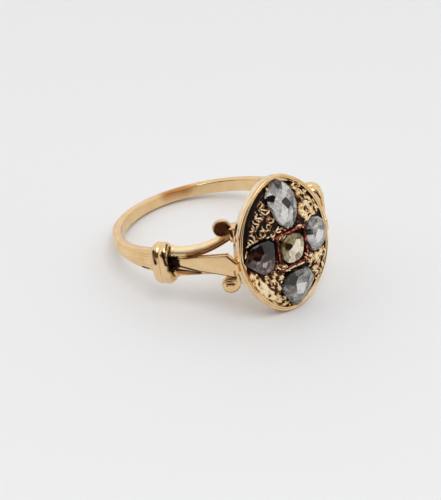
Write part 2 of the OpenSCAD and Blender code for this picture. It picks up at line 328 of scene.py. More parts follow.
@dataclass
class EffectGroups:
    """Shader node groups that several finishes share.

    Attributes:
        fine_share: Share of the grains in the roughness.
        scratch_stretch: Scales of the scratches along the ring's axes.
        scratch_share: Share of the scratches in the height.
        toned: Values of the clouds between which the tone changes.
        worn: Values of clouds and grains between which the roughness rises.
        patch_edge: Shares of its radius between which a patch fades.
        stroke_edge: Share of its radius where a stroke ends.
    """

    axes: RingAxes
    cloud_scale: float = 0.9
    fine_scale: float = 9.0
    fine_share: float = 0.5
    scratch_stretch: Triple = (2.0, 2.0, 26.0)
    scratch_share: float = 0.4
    toned: Pair = (0.35, 0.65)
    worn: Pair = (0.55, 0.95)
    patch_edge: Pair = (0.8, 1.05)
    stroke_edge: float = 1.35

    def __post_init__(self) -> None:
        """Builds each group once."""
        self.wear = self._wear_group()
        self.shade_and_grime = self._shade_and_grime_group()
        self.stroke = self._stroke_group()

    @staticmethod
    def _start_group(
        name: str, inputs: dict[str, object], outputs: Sequence[str]
    ) -> tuple[NodeSheet, bpy.types.Node, bpy.types.Node]:
        """Makes an empty group with its sockets.

        Args:
            name: Name of the group.
            inputs: Default of each input, three numbers for a vector.
            outputs: Name of each output.

        Returns:
            The group's sheet, and the nodes of its inputs and its outputs.
        """
        sheet = NodeSheet(bpy.data.node_groups.new(name, "ShaderNodeTree"))
        for title, value in inputs.items():
            kind = "NodeSocketVector" if isinstance(value, tuple) else "NodeSocketFloat"
            socket = sheet.tree.interface.new_socket(title, in_out="INPUT", socket_type=kind)
            socket.default_value = value
        for title in outputs:
            sheet.tree.interface.new_socket(title, in_out="OUTPUT", socket_type="NodeSocketFloat")
        return sheet, sheet.add("NodeGroupInput"), sheet.add("NodeGroupOutput")

    def _wear_group(self) -> bpy.types.NodeTree:
        """Makes the soft wear and fine scratches of handled metal.

        Returns:
            A group with a tone mask, a roughness and a height.
        """
        sheet, inlet, outlet = self._start_group(
            "handled metal", {"Vector": ORIGIN, "Low Roughness": 0.15, "High Roughness": 0.35},
            ("Tone", "Roughness", "Height"))
        place = inlet.outputs["Vector"]
        cloud = sheet.noise(place, self.cloud_scale, detail=4.0)
        fine = sheet.noise(place, self.fine_scale, detail=5.0)
        stretch = sheet.join(sheet.add("ShaderNodeMapping"), Vector=place, Scale=self.scratch_stretch)
        scratch = sheet.noise(stretch.outputs["Vector"], scale=1.3, detail=2.0, warp=0.6)
        low, high = inlet.outputs["Low Roughness"], inlet.outputs["High Roughness"]
        share = sheet.span(sheet.sum("ADD", cloud, sheet.sum("MULTIPLY", fine, self.fine_share)), *self.worn)
        rough = sheet.sum("ADD", low, sheet.sum("MULTIPLY", share, sheet.sum("SUBTRACT", high, low)))
        height = sheet.sum("ADD", sheet.sum("MULTIPLY", fine, 1 - self.scratch_share),
                           sheet.sum("MULTIPLY", scratch, self.scratch_share))
        sheet.join(outlet, Tone=sheet.span(cloud, *self.toned), Roughness=rough, Height=height)
        return sheet.tree

    def _shade_and_grime_group(self) -> bpy.types.NodeTree:
        """Makes a ragged patch of painted shade and old deposits round a point, the same on both shoulders.

        Returns:
            A group with the patch's mask.
        """
        sheet, inlet, outlet = self._start_group(
            "painted_shade_and_grime_patch", {"Vector": ORIGIN, "Centre": ORIGIN, "Radius": 1.0, "Ragged": 0.4}, ("Mask",))
        place = inlet.outputs["Vector"]
        parts = sheet.join(sheet.add("ShaderNodeSeparateXYZ"), Vector=place).outputs
        across = sheet.sum("ABSOLUTE", parts["Y"])
        fold = sheet.join(sheet.add("ShaderNodeCombineXYZ"), X=parts["X"], Y=across, Z=parts["Z"])
        away = sheet.vectors("DISTANCE", fold.outputs["Vector"], inlet.outputs["Centre"]).outputs["Value"]
        share = sheet.sum("DIVIDE", away, inlet.outputs["Radius"])
        edge = sheet.span(sheet.noise(place, scale=3.0, detail=4.0), 0.2, 0.8, -1.0, 1.0)
        ragged = sheet.sum("ADD", share, sheet.sum("MULTIPLY", edge, inlet.outputs["Ragged"]))
        sheet.join(outlet, Mask=sheet.span(ragged, *self.patch_edge, 1.0, 0.0))
        return sheet.tree

    def _stroke_group(self) -> bpy.types.NodeTree:
        """Makes a soft stroke mask between two points, for painted shade, soiling and painted warm
        reflections.

        Returns:
            A group with the stroke's mask.
        """
        sheet, inlet, outlet = self._start_group(
            "painted_shade_and_reflection_stroke", {"Vector": ORIGIN, "Start": ORIGIN, "End": ORIGIN, "Radius": 0.1, "Inner": 0.4},
            ("Mask",))
        start = inlet.outputs["Start"]
        here = sheet.vectors("SUBTRACT", inlet.outputs["Vector"], start).outputs["Vector"]
        run = sheet.vectors("SUBTRACT", inlet.outputs["End"], start).outputs["Vector"]
        share = sheet.sum("DIVIDE", sheet.vectors("DOT_PRODUCT", here, run).outputs["Value"],
                          sheet.vectors("DOT_PRODUCT", run, run).outputs["Value"])
        reach = sheet.add("ShaderNodeVectorMath", operation="SCALE")
        sheet.feed(reach.inputs[0], run)
        sheet.feed(reach.inputs["Scale"], sheet.span(share, 0.0, 1.0))
        away = sheet.vectors("DISTANCE", here, reach.outputs["Vector"]).outputs["Value"]
        share = sheet.sum("DIVIDE", away, inlet.outputs["Radius"])
        sheet.join(outlet, Mask=sheet.span(share, inlet.outputs["Inner"], self.stroke_edge, 1.0, 0.0))
        return sheet.tree

    def strokes(self, sheet: NodeSheet, place: object, lines: Sequence[Stroke]) -> Socket:
        """Adds strokes of painted shade, soiling and painted warm reflections to a material.

        Args:
            sheet: The material's node sheet.
            place: Its coordinates.
            lines: The strokes.

        Returns:
            The mask of them all.
        """
        mask = None
        for line in lines:
            for start, end in zip(line.points, line.points[1:]):
                part = sheet.use(self.stroke, Vector=place, Start=start, End=end, Radius=line.radius,
                                 Inner=line.inner).outputs["Mask"]
                mask = part if mask is None else sheet.sum("MAXIMUM", mask, part)
        return mask

    def ring_place(self, sheet: NodeSheet) -> Socket:
        """Adds the coordinates of a material: millimetres along the ring's own axes.

        Args:
            sheet: The material's node sheet.

        Returns:
            The coordinates.
        """
        back = self.axes.to_row.inverted()
        place = sheet.join(
            sheet.add("ShaderNodeMapping"), Vector=sheet.add("ShaderNodeTexCoord").outputs["Object"],
            Location=back.to_translation(), Rotation=back.to_euler(), Scale=(1 / MM, 1 / MM, 1 / MM))
        return place.outputs["Vector"]


def start_material(name: str) -> tuple[Material, NodeSheet, bpy.types.Node]:
    """Makes a material with a Principled shader.

    Args:
        name: Name of the material.

    Returns:
        The material, its node sheet and its shader node.
    """
    material = bpy.data.materials.new(name)
    material.use_nodes = True
    sheet = NodeSheet(material.node_tree)
    return material, sheet, material.node_tree.nodes["Principled BSDF"]


# Dark strokes on the gold: painted shade in the gaps between collar, branches and blade, and painted dark
# reflections on the rolls and branches, over some real black patina and a dark joint.
SHADE_AND_DIRT_STROKES = (
    Stroke(0.17, ((3.34, -9.21, 1.18), (3.54, -9.36, 0.1))),
    Stroke(0.13, ((4.19, -8.86, 1.14), (4.36, -8.93, 0.57), (4.4, -8.87, -0.04))),
    Stroke(0.1, ((3.97, -8.08, 1.56), (4.27, -8.51, 1.26))),
    Stroke(0.12, ((4.18, -7.99, 1.3), (4.43, -8.5, 0.71))),
    Stroke(0.26, ((4.45, -8.53, 0.53), (4.37, -8.3, 0.02), (4.57, -8.14, -0.39))),
    Stroke(0.24, ((4.5, -8.5, -0.2), (4.45, -8.62, -0.6), (4.2, -8.3, -1.0))),
    Stroke(0.12, ((4.2, -8.3, -1.0), (3.99, -8.0, -1.28))),
    Stroke(0.08, ((4.4, -8.07, 0.35), (5.79, -7.54, 0.41), (6.82, -7.05, 0.57))),
    Stroke(0.1, ((5.0, -8.0, -0.32), (6.91, -7.08, -0.82), (9.93, -5.62, -1.24))),
    Stroke(0.24, ((4.77, -7.94, -0.66), (6.3, -6.68, -1.16))),
    Stroke(0.1, ((9.58, -5.78, 0.76), (10.23, -5.47, 0.11))),
    Stroke(0.13, ((8.3, -4.62, -2.04), (8.43, -4.39, -2.14))),
    Stroke(0.06, ((7.93, -5.13, -2.29), (8.13, -4.85, -2.42))),
    Stroke(0.07, ((7.99, -5.13, -2.62), (8.33, -4.56, -2.73))),
    Stroke(0.07, ((7.77, -4.99, 2.22), (8.02, -4.52, 2.13))),
    Stroke(0.13, ((8.84, -4.51, 2.58), (8.92, -4.4, 2.07))),
    Stroke(0.08, ((1.1, -9.24, -0.84), (1.89, -9.07, -0.87))),
    Stroke(0.09, ((6.02, 8.11, 0.95), (6.07, 8.34, 0.44))),
)

# Warm strokes on the gold: painted warm reflections where the gold faces other gold, such as the inside of
# the far band and the lower faces of the branches.
WARM_REFLECTION_STROKES = (
    Stroke(0.08, ((5.66, -7.37, 0.7), (6.64, -6.51, 0.82), (7.38, -5.66, 1.13), (8.01, -4.68, 1.59),
                  (8.84, -4.51, 2.34))),
    Stroke(0.13, ((5.62, -7.17, 0.44), (6.77, -6.2, 0.6), (7.49, -5.32, 0.94), (8.1, -4.33, 1.41))),
    Stroke(0.07, ((6.83, -7.06, 0.57), (9.39, -5.71, 0.89))),
    Stroke(0.2, ((4.77, -7.94, -1.02), (6.24, -6.65, -1.4))),
    Stroke(0.11, ((10.03, -5.58, -0.66), (10.02, -5.57, -1.05))),
    Stroke(0.16, ((9.32, -4.27, 2.59), (9.85, -4.72, 1.92))),
    Stroke(0.08, ((9.97, -4.36, 2.87), (10.38, -4.79, 2.16))),
    Stroke(0.8, ((-8.4, 1.2, 0.6), (-8.23, 2.13, 0.6), (-7.95, 3.0, 0.6)), 0.0),
    Stroke(0.08, ((-8.73, 1.59, 0.55), (-7.48, 4.11, 0.52))),
    Stroke(0.09, ((10.49, -4.95, 0.03), (10.49, -4.4, -1.85), (10.5, -3.29, -3.83))),
    Stroke(0.08, ((5.42, 7.99, 1.53), (5.95, 8.15, 1.18), (6.07, 8.39, 0.35), (5.92, 8.54, -0.55))),
)


@dataclass(frozen=True)
class GoldFinish:
    """Handled yellow gold with a rosy cast, with painted shade, painted reflections and old soiling in its
    recesses and along its edges.
    """

    name: str = "handled_gold"
    warm: Color = (0.79, 0.54, 0.27)
    pale: Color = (0.86, 0.63, 0.36)
    # Colour of the painted shade and soiling strokes.
    dark: Color = (0.05, 0.013, 0.006)
    # Colour of the painted warm reflections.
    reflection_orange: Color = (0.46, 0.17, 0.035)
    # Dark patches: painted shade over black patina in the cavity where branches and blade meet the collar,
    # and painted dark reflection in the upper volute's cup.
    patches: tuple[ShadeAndGrimePatch, ...] = (
        ShadeAndGrimePatch((4.6, 8.1, -0.1), 0.75, 0.3),
        ShadeAndGrimePatch((8.08, 4.78, 2.76), 0.78, 0.08, (0.10, 0.035, 0.012)))
    low_roughness: float = 0.1
    high_roughness: float = 0.24
    # Extra roughness under the painted shade and soiling.
    shade_and_dirt_roughness: float = 0.25
    scratch_depth: float = 0.004

    def build(self, groups: EffectGroups) -> Material:
        """Makes the material.

        Args:
            groups: The shared shader node groups.

        Returns:
            The new material.
        """
        material, sheet, shader = start_material(self.name)
        place = groups.ring_place(sheet)
        wear = sheet.use(groups.wear, Vector=place, Low_Roughness=self.low_roughness,
                         High_Roughness=self.high_roughness).outputs
        color = sheet.mix(wear["Tone"], self.warm, self.pale)
        # Painted warm reflections along the warm reflection strokes.
        color = sheet.mix(groups.strokes(sheet, place, WARM_REFLECTION_STROKES), color, self.reflection_orange)
        # Painted shade and dark reflections, with some real soiling, along the dark strokes; the patches
        # below add more painted shade.
        shade_and_dirt = groups.strokes(sheet, place, SHADE_AND_DIRT_STROKES)
        color = sheet.mix(shade_and_dirt, color, self.dark)
        for patch in self.patches:
            mask = sheet.use(groups.shade_and_grime, Vector=place, Centre=patch.centre, Radius=patch.radius,
                             Ragged=patch.ragged).outputs["Mask"]
            color = sheet.mix(mask, color, patch.color)
            shade_and_dirt = sheet.sum("MAXIMUM", shade_and_dirt, mask)
        rough = sheet.sum("ADD", wear["Roughness"], sheet.sum("MULTIPLY", shade_and_dirt, self.shade_and_dirt_roughness))
        sheet.join(shader, Base_Color=color, Roughness=rough, Metallic=1.0,
                   Normal=sheet.bump(wear["Height"], self.scratch_depth))
        return material


@dataclass(frozen=True)
class OxideFinish:
    """Old oxide on metal, worn through to the metal in flecks.

    Attributes:
        fleck_low: Value of the grain where a fleck starts.
        fleck_high: Value of the grain where it is bare metal.
        spread: Width of the first and the last change of colour.
        roughness: Roughness where it is least and most worn.
    """

    name: str
    deep: Color
    dark: Color
    metal: Color
    light: Color
    fleck_low: float
    fleck_high: float
    fleck_scale: float
    depth: float
    spread: float = 0.09
    dull: float = 0.35
    roughness: Pair = (0.12, 0.3)

    def build(self, groups: EffectGroups) -> Material:
        """Makes the material.

        Args:
            groups: The shared shader node groups.

        Returns:
            The new material.
        """
        material, sheet, shader = start_material(self.name)
        place = groups.ring_place(sheet)
        wear = sheet.use(groups.wear, Vector=place, Low_Roughness=self.roughness[0],
                         High_Roughness=self.roughness[1]).outputs
        grain = sheet.noise(place, self.fleck_scale, detail=4.0, warp=0.8)
        stops = ((self.fleck_low - self.spread, self.deep), (self.fleck_low, self.dark),
                 (self.fleck_high, self.metal), (self.fleck_high + self.spread, self.light))
        sheet.join(shader, Base_Color=sheet.ramp(grain, stops), Roughness=wear["Roughness"],
                   Metallic=sheet.span(grain, self.fleck_low, self.fleck_high, self.dull, 1.0),
                   Normal=sheet.bump(grain, self.depth))
        return material


@dataclass(frozen=True)
class GroundFinish:
    """Black oxide in the sunk parts of the plate and worn gold on its raised parts.

    Attributes:
        levels: Wear at which each colour stands, from dark to light.
        matt_run: Wear over which the roughness changes.
        metal_run: Wear over which the ground turns to metal.
        gloss_run: Wear over which the gloss changes.
    """

    name: str = "oxidised_ground"
    dark: Color = (0.010, 0.004, 0.003)
    stain: Color = (0.07, 0.018, 0.010)
    brown: Color = (0.34, 0.12, 0.025)
    metal: Color = (0.88, 0.60, 0.26)
    light: Color = (1.0, 0.86, 0.58)
    levels: tuple[float, ...] = (0.12, 0.3, 0.45, 0.6, 0.85)
    grain_scale: float = 7.0
    grain: float = 0.17
    grain_depth: float = 0.03
    roughness: Pair = (0.5, 0.18)
    matt_run: Pair = (0.3, 0.7)
    metal_run: Pair = (0.35, 0.6)
    specular: Pair = (0.15, 0.5)
    gloss_run: Pair = (0.3, 0.6)

    def build(self, groups: EffectGroups) -> Material:
        """Makes the material.

        Args:
            groups: The shared shader node groups.

        Returns:
            The new material.
        """
        material, sheet, shader = start_material(self.name)
        raised = sheet.add("ShaderNodeAttribute", attribute_name="raised").outputs["Fac"]
        grain = sheet.noise(groups.ring_place(sheet), self.grain_scale, detail=4.0, warp=0.5)
        level = sheet.sum("ADD", raised, sheet.span(grain, *NOISE_RANGE, -self.grain, self.grain))
        colors = (self.dark, self.stain, self.brown, self.metal, self.light)
        sheet.join(shader, Base_Color=sheet.ramp(level, tuple(zip(self.levels, colors))),
                   Roughness=sheet.span(level, *self.matt_run, *self.roughness),
                   Metallic=sheet.span(level, *self.metal_run),
                   Specular_IOR_Level=sheet.span(level, *self.gloss_run, *self.specular),
                   Normal=sheet.bump(grain, self.grain_depth))
        return material


@dataclass(frozen=True)
class StoneFinish:
    """A cut stone whose facets differ in tone, with its back facets and clouds showing through; the facet
    tones are painted reflections and glints, and the back facets are painted too.

    Attributes:
        tones: Tones where the colours stand, the darkest one twice.
        cloud: How much a cloud changes the tone.
        cloud_scale: Clouds per millimetre.
        inner: How much a back facet changes the tone.
        inner_scale: Back facets per millimetre.
    """

    name: str
    dark: Color
    deep: Color
    middle: Color
    # Colour of the brightest facets: a painted glint.
    light: Color
    tones: tuple[float, ...] = (0.0, 0.15, 0.34, 0.55, 0.95)
    cloud: float = 0.16
    cloud_scale: float = 2.6
    inner: float = 0.2
    inner_scale: float = 1.5
    roughness: Pair = (0.04, 0.16)
    ior: float = 1.6

    def build(self, groups: EffectGroups) -> Material:
        """Makes the material.

        Args:
            groups: The shared shader node groups.

        Returns:
            The new material.
        """
        material, sheet, shader = start_material(self.name)
        place = groups.ring_place(sheet)
        facet = sheet.add("ShaderNodeAttribute", attribute_name="tone").outputs["Fac"]
        cloud = sheet.noise(place, self.cloud_scale, detail=5.0, warp=1.2)
        tone = sheet.sum("ADD", facet, sheet.span(cloud, *NOISE_RANGE, -self.cloud, self.cloud))
        back = sheet.span(sheet.cells(place, self.inner_scale), 0.0, 1.0, -self.inner, self.inner)
        colors = (self.dark, self.dark, self.deep, self.middle, self.light)
        color = sheet.ramp(sheet.sum("ADD", tone, back), tuple(zip(self.tones, colors)))
        rough = sheet.span(sheet.noise(place, scale=5.0), *NOISE_RANGE, *self.roughness)
        sheet.join(shader, Base_Color=color, Roughness=rough, IOR=self.ior)
        return material


@dataclass(frozen=True)
class PaperFinish:
    """Plain pale paper for the studio's floor."""

    name: str = "pale_paper"
    color: Color = (0.89, 0.90, 0.915)
    grain: float = 0.985
    grain_scale: float = 14.0
    roughness: float = 0.75
    specular: float = 0.2

    def build(self) -> Material:
        """Makes the material.

        Returns:
            The new material.
        """
        material, sheet, shader = start_material(self.name)
        place = sheet.add("ShaderNodeTexCoord").outputs["Object"]
        tint = tuple(c * self.grain for c in self.color)
        color = sheet.mix(sheet.noise(place, self.grain_scale, detail=2.0), self.color, tint)
        sheet.join(shader, Base_Color=color, Roughness=self.roughness, Specular_IOR_Level=self.specular)
        return material


@dataclass
class Workbench:
    """Turns finished bmeshes into pieces of the ring."""

    axes: RingAxes

    def place(
        self,
        bm: Shape,
        name: str,
        finish: Material,
        slot: Slot,
        stands_for: Sequence[str],
        sharp: float = 40.0,
    ) -> bpy.types.Object:
        """Makes a piece from a bmesh in ring millimetres.

        Args:
            bm: The finished shape, which is freed.
            name: Name of the piece.
            finish: Its material.
            slot: The record's material slot; not used.
            stands_for: CAD nodes that it stands for.
            sharp: Angle in degrees over which an edge stays sharp.

        Returns:
            The new object, riding on the ring's body.
        """
        mesh = bpy.data.meshes.new(name)
        bmesh.ops.recalc_face_normals(bm, faces=bm.faces)
        bm.transform(self.axes.to_row)
        bm.to_mesh(mesh)
        bm.free()
        mesh.polygons.foreach_set("use_smooth", [True] * len(mesh.polygons))
        mesh.set_sharp_from_angle(angle=math.radians(sharp))
        mesh.materials.append(finish)
        piece = bpy.data.objects.new(name, mesh)
        bpy.context.scene.collection.objects.link(piece)
        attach(piece, "root")
        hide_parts(*stands_for)
        log.info("%s: %d faces", name, len(mesh.polygons))
        return piece


def loft(bm: Shape, stations: Sequence[Sequence[Vector]], around: bool = False) -> None:
    """Draws a closed loop of points through stations by extruding its edges, and closes its ends.

    Args:
        bm: The bmesh to draw in.
        stations: Loops of as many points each.
        around: Whether the last station joins the first instead.
    """
    ring = [bm.verts.new(point) for point in stations[0]]
    edges = [bm.edges.new(pair) for pair in zip(ring, ring[1:] + ring[:1])]
    first = list(edges)
    for points in stations[1:]:
        made = bmesh.ops.extrude_edge_only(bm, edges=edges)["geom"]
        fresh = {item for item in made if isinstance(item, bmesh.types.BMVert)}
        ring = [next(e.other_vert(v) for e in v.link_edges if e.other_vert(v) in fresh) for v in ring]
        for vert, point in zip(ring, points):
            vert.co = point
        edges = [bm.edges.get(pair) for pair in zip(ring, ring[1:] + ring[:1])]
    if around:
        bmesh.ops.bridge_loops(bm, edges=first + edges)
    else:
        bmesh.ops.contextual_create(bm, geom=first)
        bmesh.ops.contextual_create(bm, geom=edges)


def steps(start: float, end: float, count: int) -> list[float]:
    """Gives evenly spaced values, ends included.

    Args:
        start: First value.
        end: Last value.
        count: Number of values.

    Returns:
        The values.
    """
    return [start + (end - start) * i / (count - 1) for i in range(count)]


def arc(centre: Pair, radius: float, start: float, end: float, count: int) -> list[Pair]:
    """Gives points of an arc in a plane.

    Args:
        centre: Middle of the arc.
        radius: Its radius.
        start: Start angle in degrees.
        end: End angle in degrees.
        count: Number of points.

    Returns:
        The points.
    """
    turns = [math.radians(angle) for angle in steps(start, end, count)]
    return [(centre[0] + radius * math.cos(turn), centre[1] + radius * math.sin(turn)) for turn in turns]


def around_finger(angle: float, radius: float, height: float) -> Vector:
    """Gives the point at an angle in degrees from the head, round the finger."""
    turn = math.radians(angle)
    return Vector((radius * math.cos(turn), radius * math.sin(turn), height))


def ease(value: float, low: float, high: float) -> float:
    """Rises smoothly from 0 at low to 1 at high."""
    share = min(1.0, max(0.0, (value - low) / (high - low)))
    return share * share * (3 - 2 * share)


@dataclass
class HoopBand:
    """The band of the hoop, which narrows to its back and is reeded near the collars.

    Attributes:
        grooves: Place across the band, from -1 to 1, and depth of each groove.
        groove_half_w: Half the width of a groove, as a share of half the band.
        reeding_ends: Angles between which the grooves run out.
        side_at: Reach towards the head where the band starts to widen.
        past_back: Reach beyond the back where its width would be back_w.
        flare_ends: Angles between which the lower edge sinks at the near collar.
    """

    bore_r: float
    back_w: float = 1.04
    side_w: float = 1.46
    front_w: float = 2.1
    thick: float = 0.91
    crown_drop: float = 0.32
    crown_half_w: float = 1.15
    edge_r: float = 0.16
    inner_edge_r: float = 0.14
    grooves: tuple[Pair, ...] = (
        (0.82, 0.05), (0.6, 0.06), (0.37, 0.06), (0.13, 0.06), (-0.12, 0.05), (-0.42, 0.035), (-0.72, 0.035))
    groove_half_w: float = 0.07
    reeding_ends: Pair = (98.0, 128.0)
    end_angles: Pair = (-68.4, 60.6)
    side_at: float = -1.5
    front_at: float = 3.4
    past_back: float = 1.0
    turns: int = 220
    near_flare: float = 0.26
    flare_ends: Pair = (104.0, 66.0)
    face_points: int = 101
    inner_points: int = 25

    def half_width(self, angle: float) -> float:
        """Gives half the band's width.

        Args:
            angle: Angle from the head, in degrees.

        Returns:
            Half the width, in millimetres.
        """
        reach = (self.bore_r + self.thick) * math.cos(math.radians(angle))
        if reach > self.side_at:
            share = (reach - self.side_at) / (self.front_at - self.side_at)
            return (self.side_w + (self.front_w - self.side_w) * min(share, 1.0)) / 2
        back = self.bore_r + self.thick + self.past_back
        share = (reach + back) / (self.side_at + back)
        return (self.back_w + (self.side_w - self.back_w) * share) / 2

    def groove(self, angle: float, share: float) -> float:
        """Gives the depth of the reeding at a place on the band.

        Args:
            angle: Angle from the head, in degrees.
            share: Place across the band, from -1 at its lower edge to 1.

        Returns:
            Depth of the reeding, in millimetres.
        """
        fade = 1 - ease(abs(angle), *self.reeding_ends)
        dips = (depth * max(0.0, 1 - abs(share - at) / self.groove_half_w) for at, depth in self.grooves)
        return fade * max(dips)

    def station(self, angle: float) -> list[Vector]:
        """Gives the band's section at an angle.

        Args:
            angle: Angle from the head, in degrees, from -180 to 180.

        Returns:
            The loop of points.
        """
        half = self.half_width(angle)
        flare = self.near_flare * ease(-angle, *self.flare_ends) if angle < 0 else 0.0
        crown_r = (self.crown_half_w ** 2 + self.crown_drop ** 2) / (2 * self.crown_drop)
        points = []
        for share in steps(-1, 1, self.face_points):
            height = share * half
            thick = self.thick - crown_r + math.sqrt(crown_r ** 2 - height ** 2)
            over = max(0.0, abs(height) - (half - self.edge_r))
            thick -= self.edge_r - math.sqrt(max(0.0, self.edge_r ** 2 - over ** 2))
            thick -= self.groove(angle, share)
            points.append(around_finger(angle, self.bore_r + thick, height - flare * (1 - share) / 2))
        for share in steps(1, -1, self.inner_points):
            height = share * half
            over = max(0.0, abs(height) - (half - self.inner_edge_r))
            lift = self.inner_edge_r - math.sqrt(max(0.0, self.inner_edge_r ** 2 - over ** 2))
            points.append(around_finger(angle, self.bore_r + lift, height - flare * (1 - share) / 2))
        return points

    def shape(self) -> Shape:
        """Draws the band from one collar round the back to the other.

        Returns:
            The band.
        """
        bm = bmesh.new()
        angles = steps(self.end_angles[1], 360 + self.end_angles[0], self.turns)
        loft(bm, [self.station(a if a <= 180 else a - 360) for a in angles])
        return bm


@dataclass
class RolledCollar:
    """Two round rolls bent over the band, side by side, with solder between them.

    Attributes:
        angles: Angles of the near and the far collar round the finger.
        crowns: Their heights over the bore.
        drop: How far the collar sits under the band's middle.
        foot: Heights over the bore where a roll starts.
    """

    side: Side
    bore_r: float
    angles: Pair = (-67.8, 60.0)
    crowns: Pair = (1.52, 2.2)
    pitch: float = 4.4
    roll_t: float = 1.08
    width: float = 3.9
    corner_r: float = 0.6
    leans: Pair = (0.0, 12.0)
    drop: float = 0.3
    foot: Pair = (0.03, 0.12)
    foot_share: float = 0.9
    core_t: float = 1.7
    core_lift: float = 0.06
    round_points: int = 28
    corner_points: int = 12
    top_points: int = 8

    def top(self) -> float:
        """Gives the distance from the finger's axis to the middle of a roll's top."""
        return self.bore_r + self.crowns[self.side is Side.FAR] - self.roll_t / 2

    def path(self) -> list[Triple]:
        """Gives the middle line of a roll.

        Returns:
            Distance from the axis, height and heading in degrees at each station.
        """
        top, side = self.top(), self.width / 2 - self.roll_t / 2
        corner_at, corner_h = top - self.corner_r, side - self.corner_r
        line = [(self.bore_r + lift, -side, 0.0) for lift in self.foot]
        for turn in steps(0, 90, self.corner_points):
            a = math.radians(turn)
            across, down = self.corner_r * math.sin(a), self.corner_r * math.cos(a)
            line.append((corner_at + across, -corner_h - down, turn))
        for height in steps(-corner_h, corner_h, self.top_points)[1:-1]:
            line.append((top, height, 90.0))
        back = [(x, -z, 180 - turn) for x, z, turn in reversed(line[:len(self.foot) + self.corner_points])]
        return line + back

    def roll(self, bm: Shape, place: Matrix) -> None:
        """Draws one roll.

        Args:
            bm: The bmesh to draw in.
            place: Where the roll goes.
        """
        bar_r = self.roll_t / 2
        stations = []
        path = self.path()
        for index, (x, z, turn) in enumerate(path):
            a = math.radians(turn)
            outward = Vector((math.sin(a), 0, -math.cos(a)))
            end = index in (0, len(path) - 1)
            reach = bar_r * (self.foot_share if end else 1.0)
            loop = []
            for spin in steps(0, 360, self.round_points + 1)[:-1]:
                s = math.radians(spin)
                offset = outward * math.cos(s) * reach + Vector((0, math.sin(s) * reach, 0))
                loop.append(place @ (Vector((x, 0, z)) + offset))
            stations.append(loop)
        loft(bm, stations)

    def core(self, bm: Shape, place: Matrix) -> None:
        """Draws the solder that fills the rolls between the band and the branches.

        Args:
            bm: The bmesh to draw in.
            place: Where the collar goes.
        """
        low, high = self.bore_r + self.core_lift, self.top()
        size = Matrix.Diagonal((high - low, self.core_t, self.width - self.roll_t, 1))
        middle = Matrix.Translation(((low + high) / 2, 0, 0))
        bmesh.ops.create_cube(bm, size=1.0, matrix=place @ middle @ size)

    def shape(self) -> Shape:
        """Draws the collar.

        Returns:
            Both rolls and what fills them.
        """
        bm = bmesh.new()
        set_at = (Matrix.Rotation(math.radians(self.angles[self.side is Side.FAR]), 4, "Z")
                  @ Matrix.Translation((0, 0, -self.drop))
                  @ Matrix.Rotation(math.radians(self.leans[self.side is Side.FAR]), 4, "X"))
        for step in (-0.5, 0.5):
            self.roll(bm, set_at @ Matrix.Rotation(math.radians(step * self.pitch), 4, "Z"))
        self.core(bm, set_at)
        return bm


@dataclass
class ShoulderBranch:
    """One outer branch of a shoulder: a ridged bar that curves from the collar to the head.

    Attributes:
        bend_angle: Angle round the finger where the bend starts.
        start_h: Height of the bar over the band's middle at that place.
        section: Rise over the bore and place across, round the bar's section.
        cuff: Place along the bar and growth of the section, along the cuff at its root.
        flare: How much wider the bar is to its inside at its root.
        near_sag: How far the near lower branch sags at its root.
    """

    side: Side
    level: Level
    bore_r: float
    bend_angle: float = 55.0
    bend_r: float = 10.0
    start_h: float = 0.84
    reach_on: float = 5.2
    reach_back: float = 1.15
    stations: int = 56
    section: tuple[Pair, ...] = (
        (0.02, -0.32), (0.02, 0.32), (0.06, 0.38), (0.18, 0.42), (0.34, 0.415), (0.48, 0.35), (0.6, 0.24),
        (0.7, 0.11), (0.77, -0.02), (0.8, -0.09), (0.79, -0.13), (0.7, -0.17), (0.61, -0.2), (0.61, -0.23),
        (0.67, -0.26), (0.69, -0.31), (0.66, -0.37), (0.56, -0.41), (0.4, -0.425), (0.2, -0.42),
        (0.06, -0.38))
    cuff: tuple[Pair, ...] = (
        (-1.1, 1.0), (-1.08, 1.1), (-1.02, 1.18), (-0.94, 1.22), (-0.86, 1.18), (-0.8, 1.1), (-0.78, 1.0))
    flare: float = 0.26
    flare_ends: Pair = (-0.4, 4.6)
    flare_full: float = 0.3
    near_sag: float = 0.3

    def place(self, along: float, rise: float, across: float) -> Vector:
        """Carries a point of the section to its place on the branch.

        Args:
            along: Distance along the tangent from the start of the bend, towards the head.
            rise: Height over the bore.
            across: Place across the bar, to the outside of its bend.

        Returns:
            The point.
        """
        fade = 1 - ease(along, *self.flare_ends)
        if across < 0:
            across -= self.flare * fade * min(1.0, -across / self.flare_full)
        turn = math.asin(along / self.bend_r)
        slide = along - across * math.sin(turn)
        height = self.start_h + self.bend_r * (1 - math.cos(turn)) + across * math.cos(turn)
        if self.side is Side.NEAR and self.level is Level.LOWER:
            height += self.near_sag * fade
        radius = self.bore_r + rise
        angle = self.bend_angle - math.degrees(math.asin(slide / radius))
        return around_finger(self.side.value * angle, radius, self.level.value * height)

    def shape(self) -> Shape:
        """Draws the branch.

        Returns:
            The bar.
        """
        bm = bmesh.new()
        runs = steps(-self.reach_back, self.reach_on, self.stations)
        loft(bm, [[self.place(run, rise, across) for rise, across in self.section] for run in runs])
        loft(bm, [[self.place(run, rise * (grow + 1) / 2, across * grow) for rise, across in self.section]
                  for run, grow in self.cuff])
        return bm


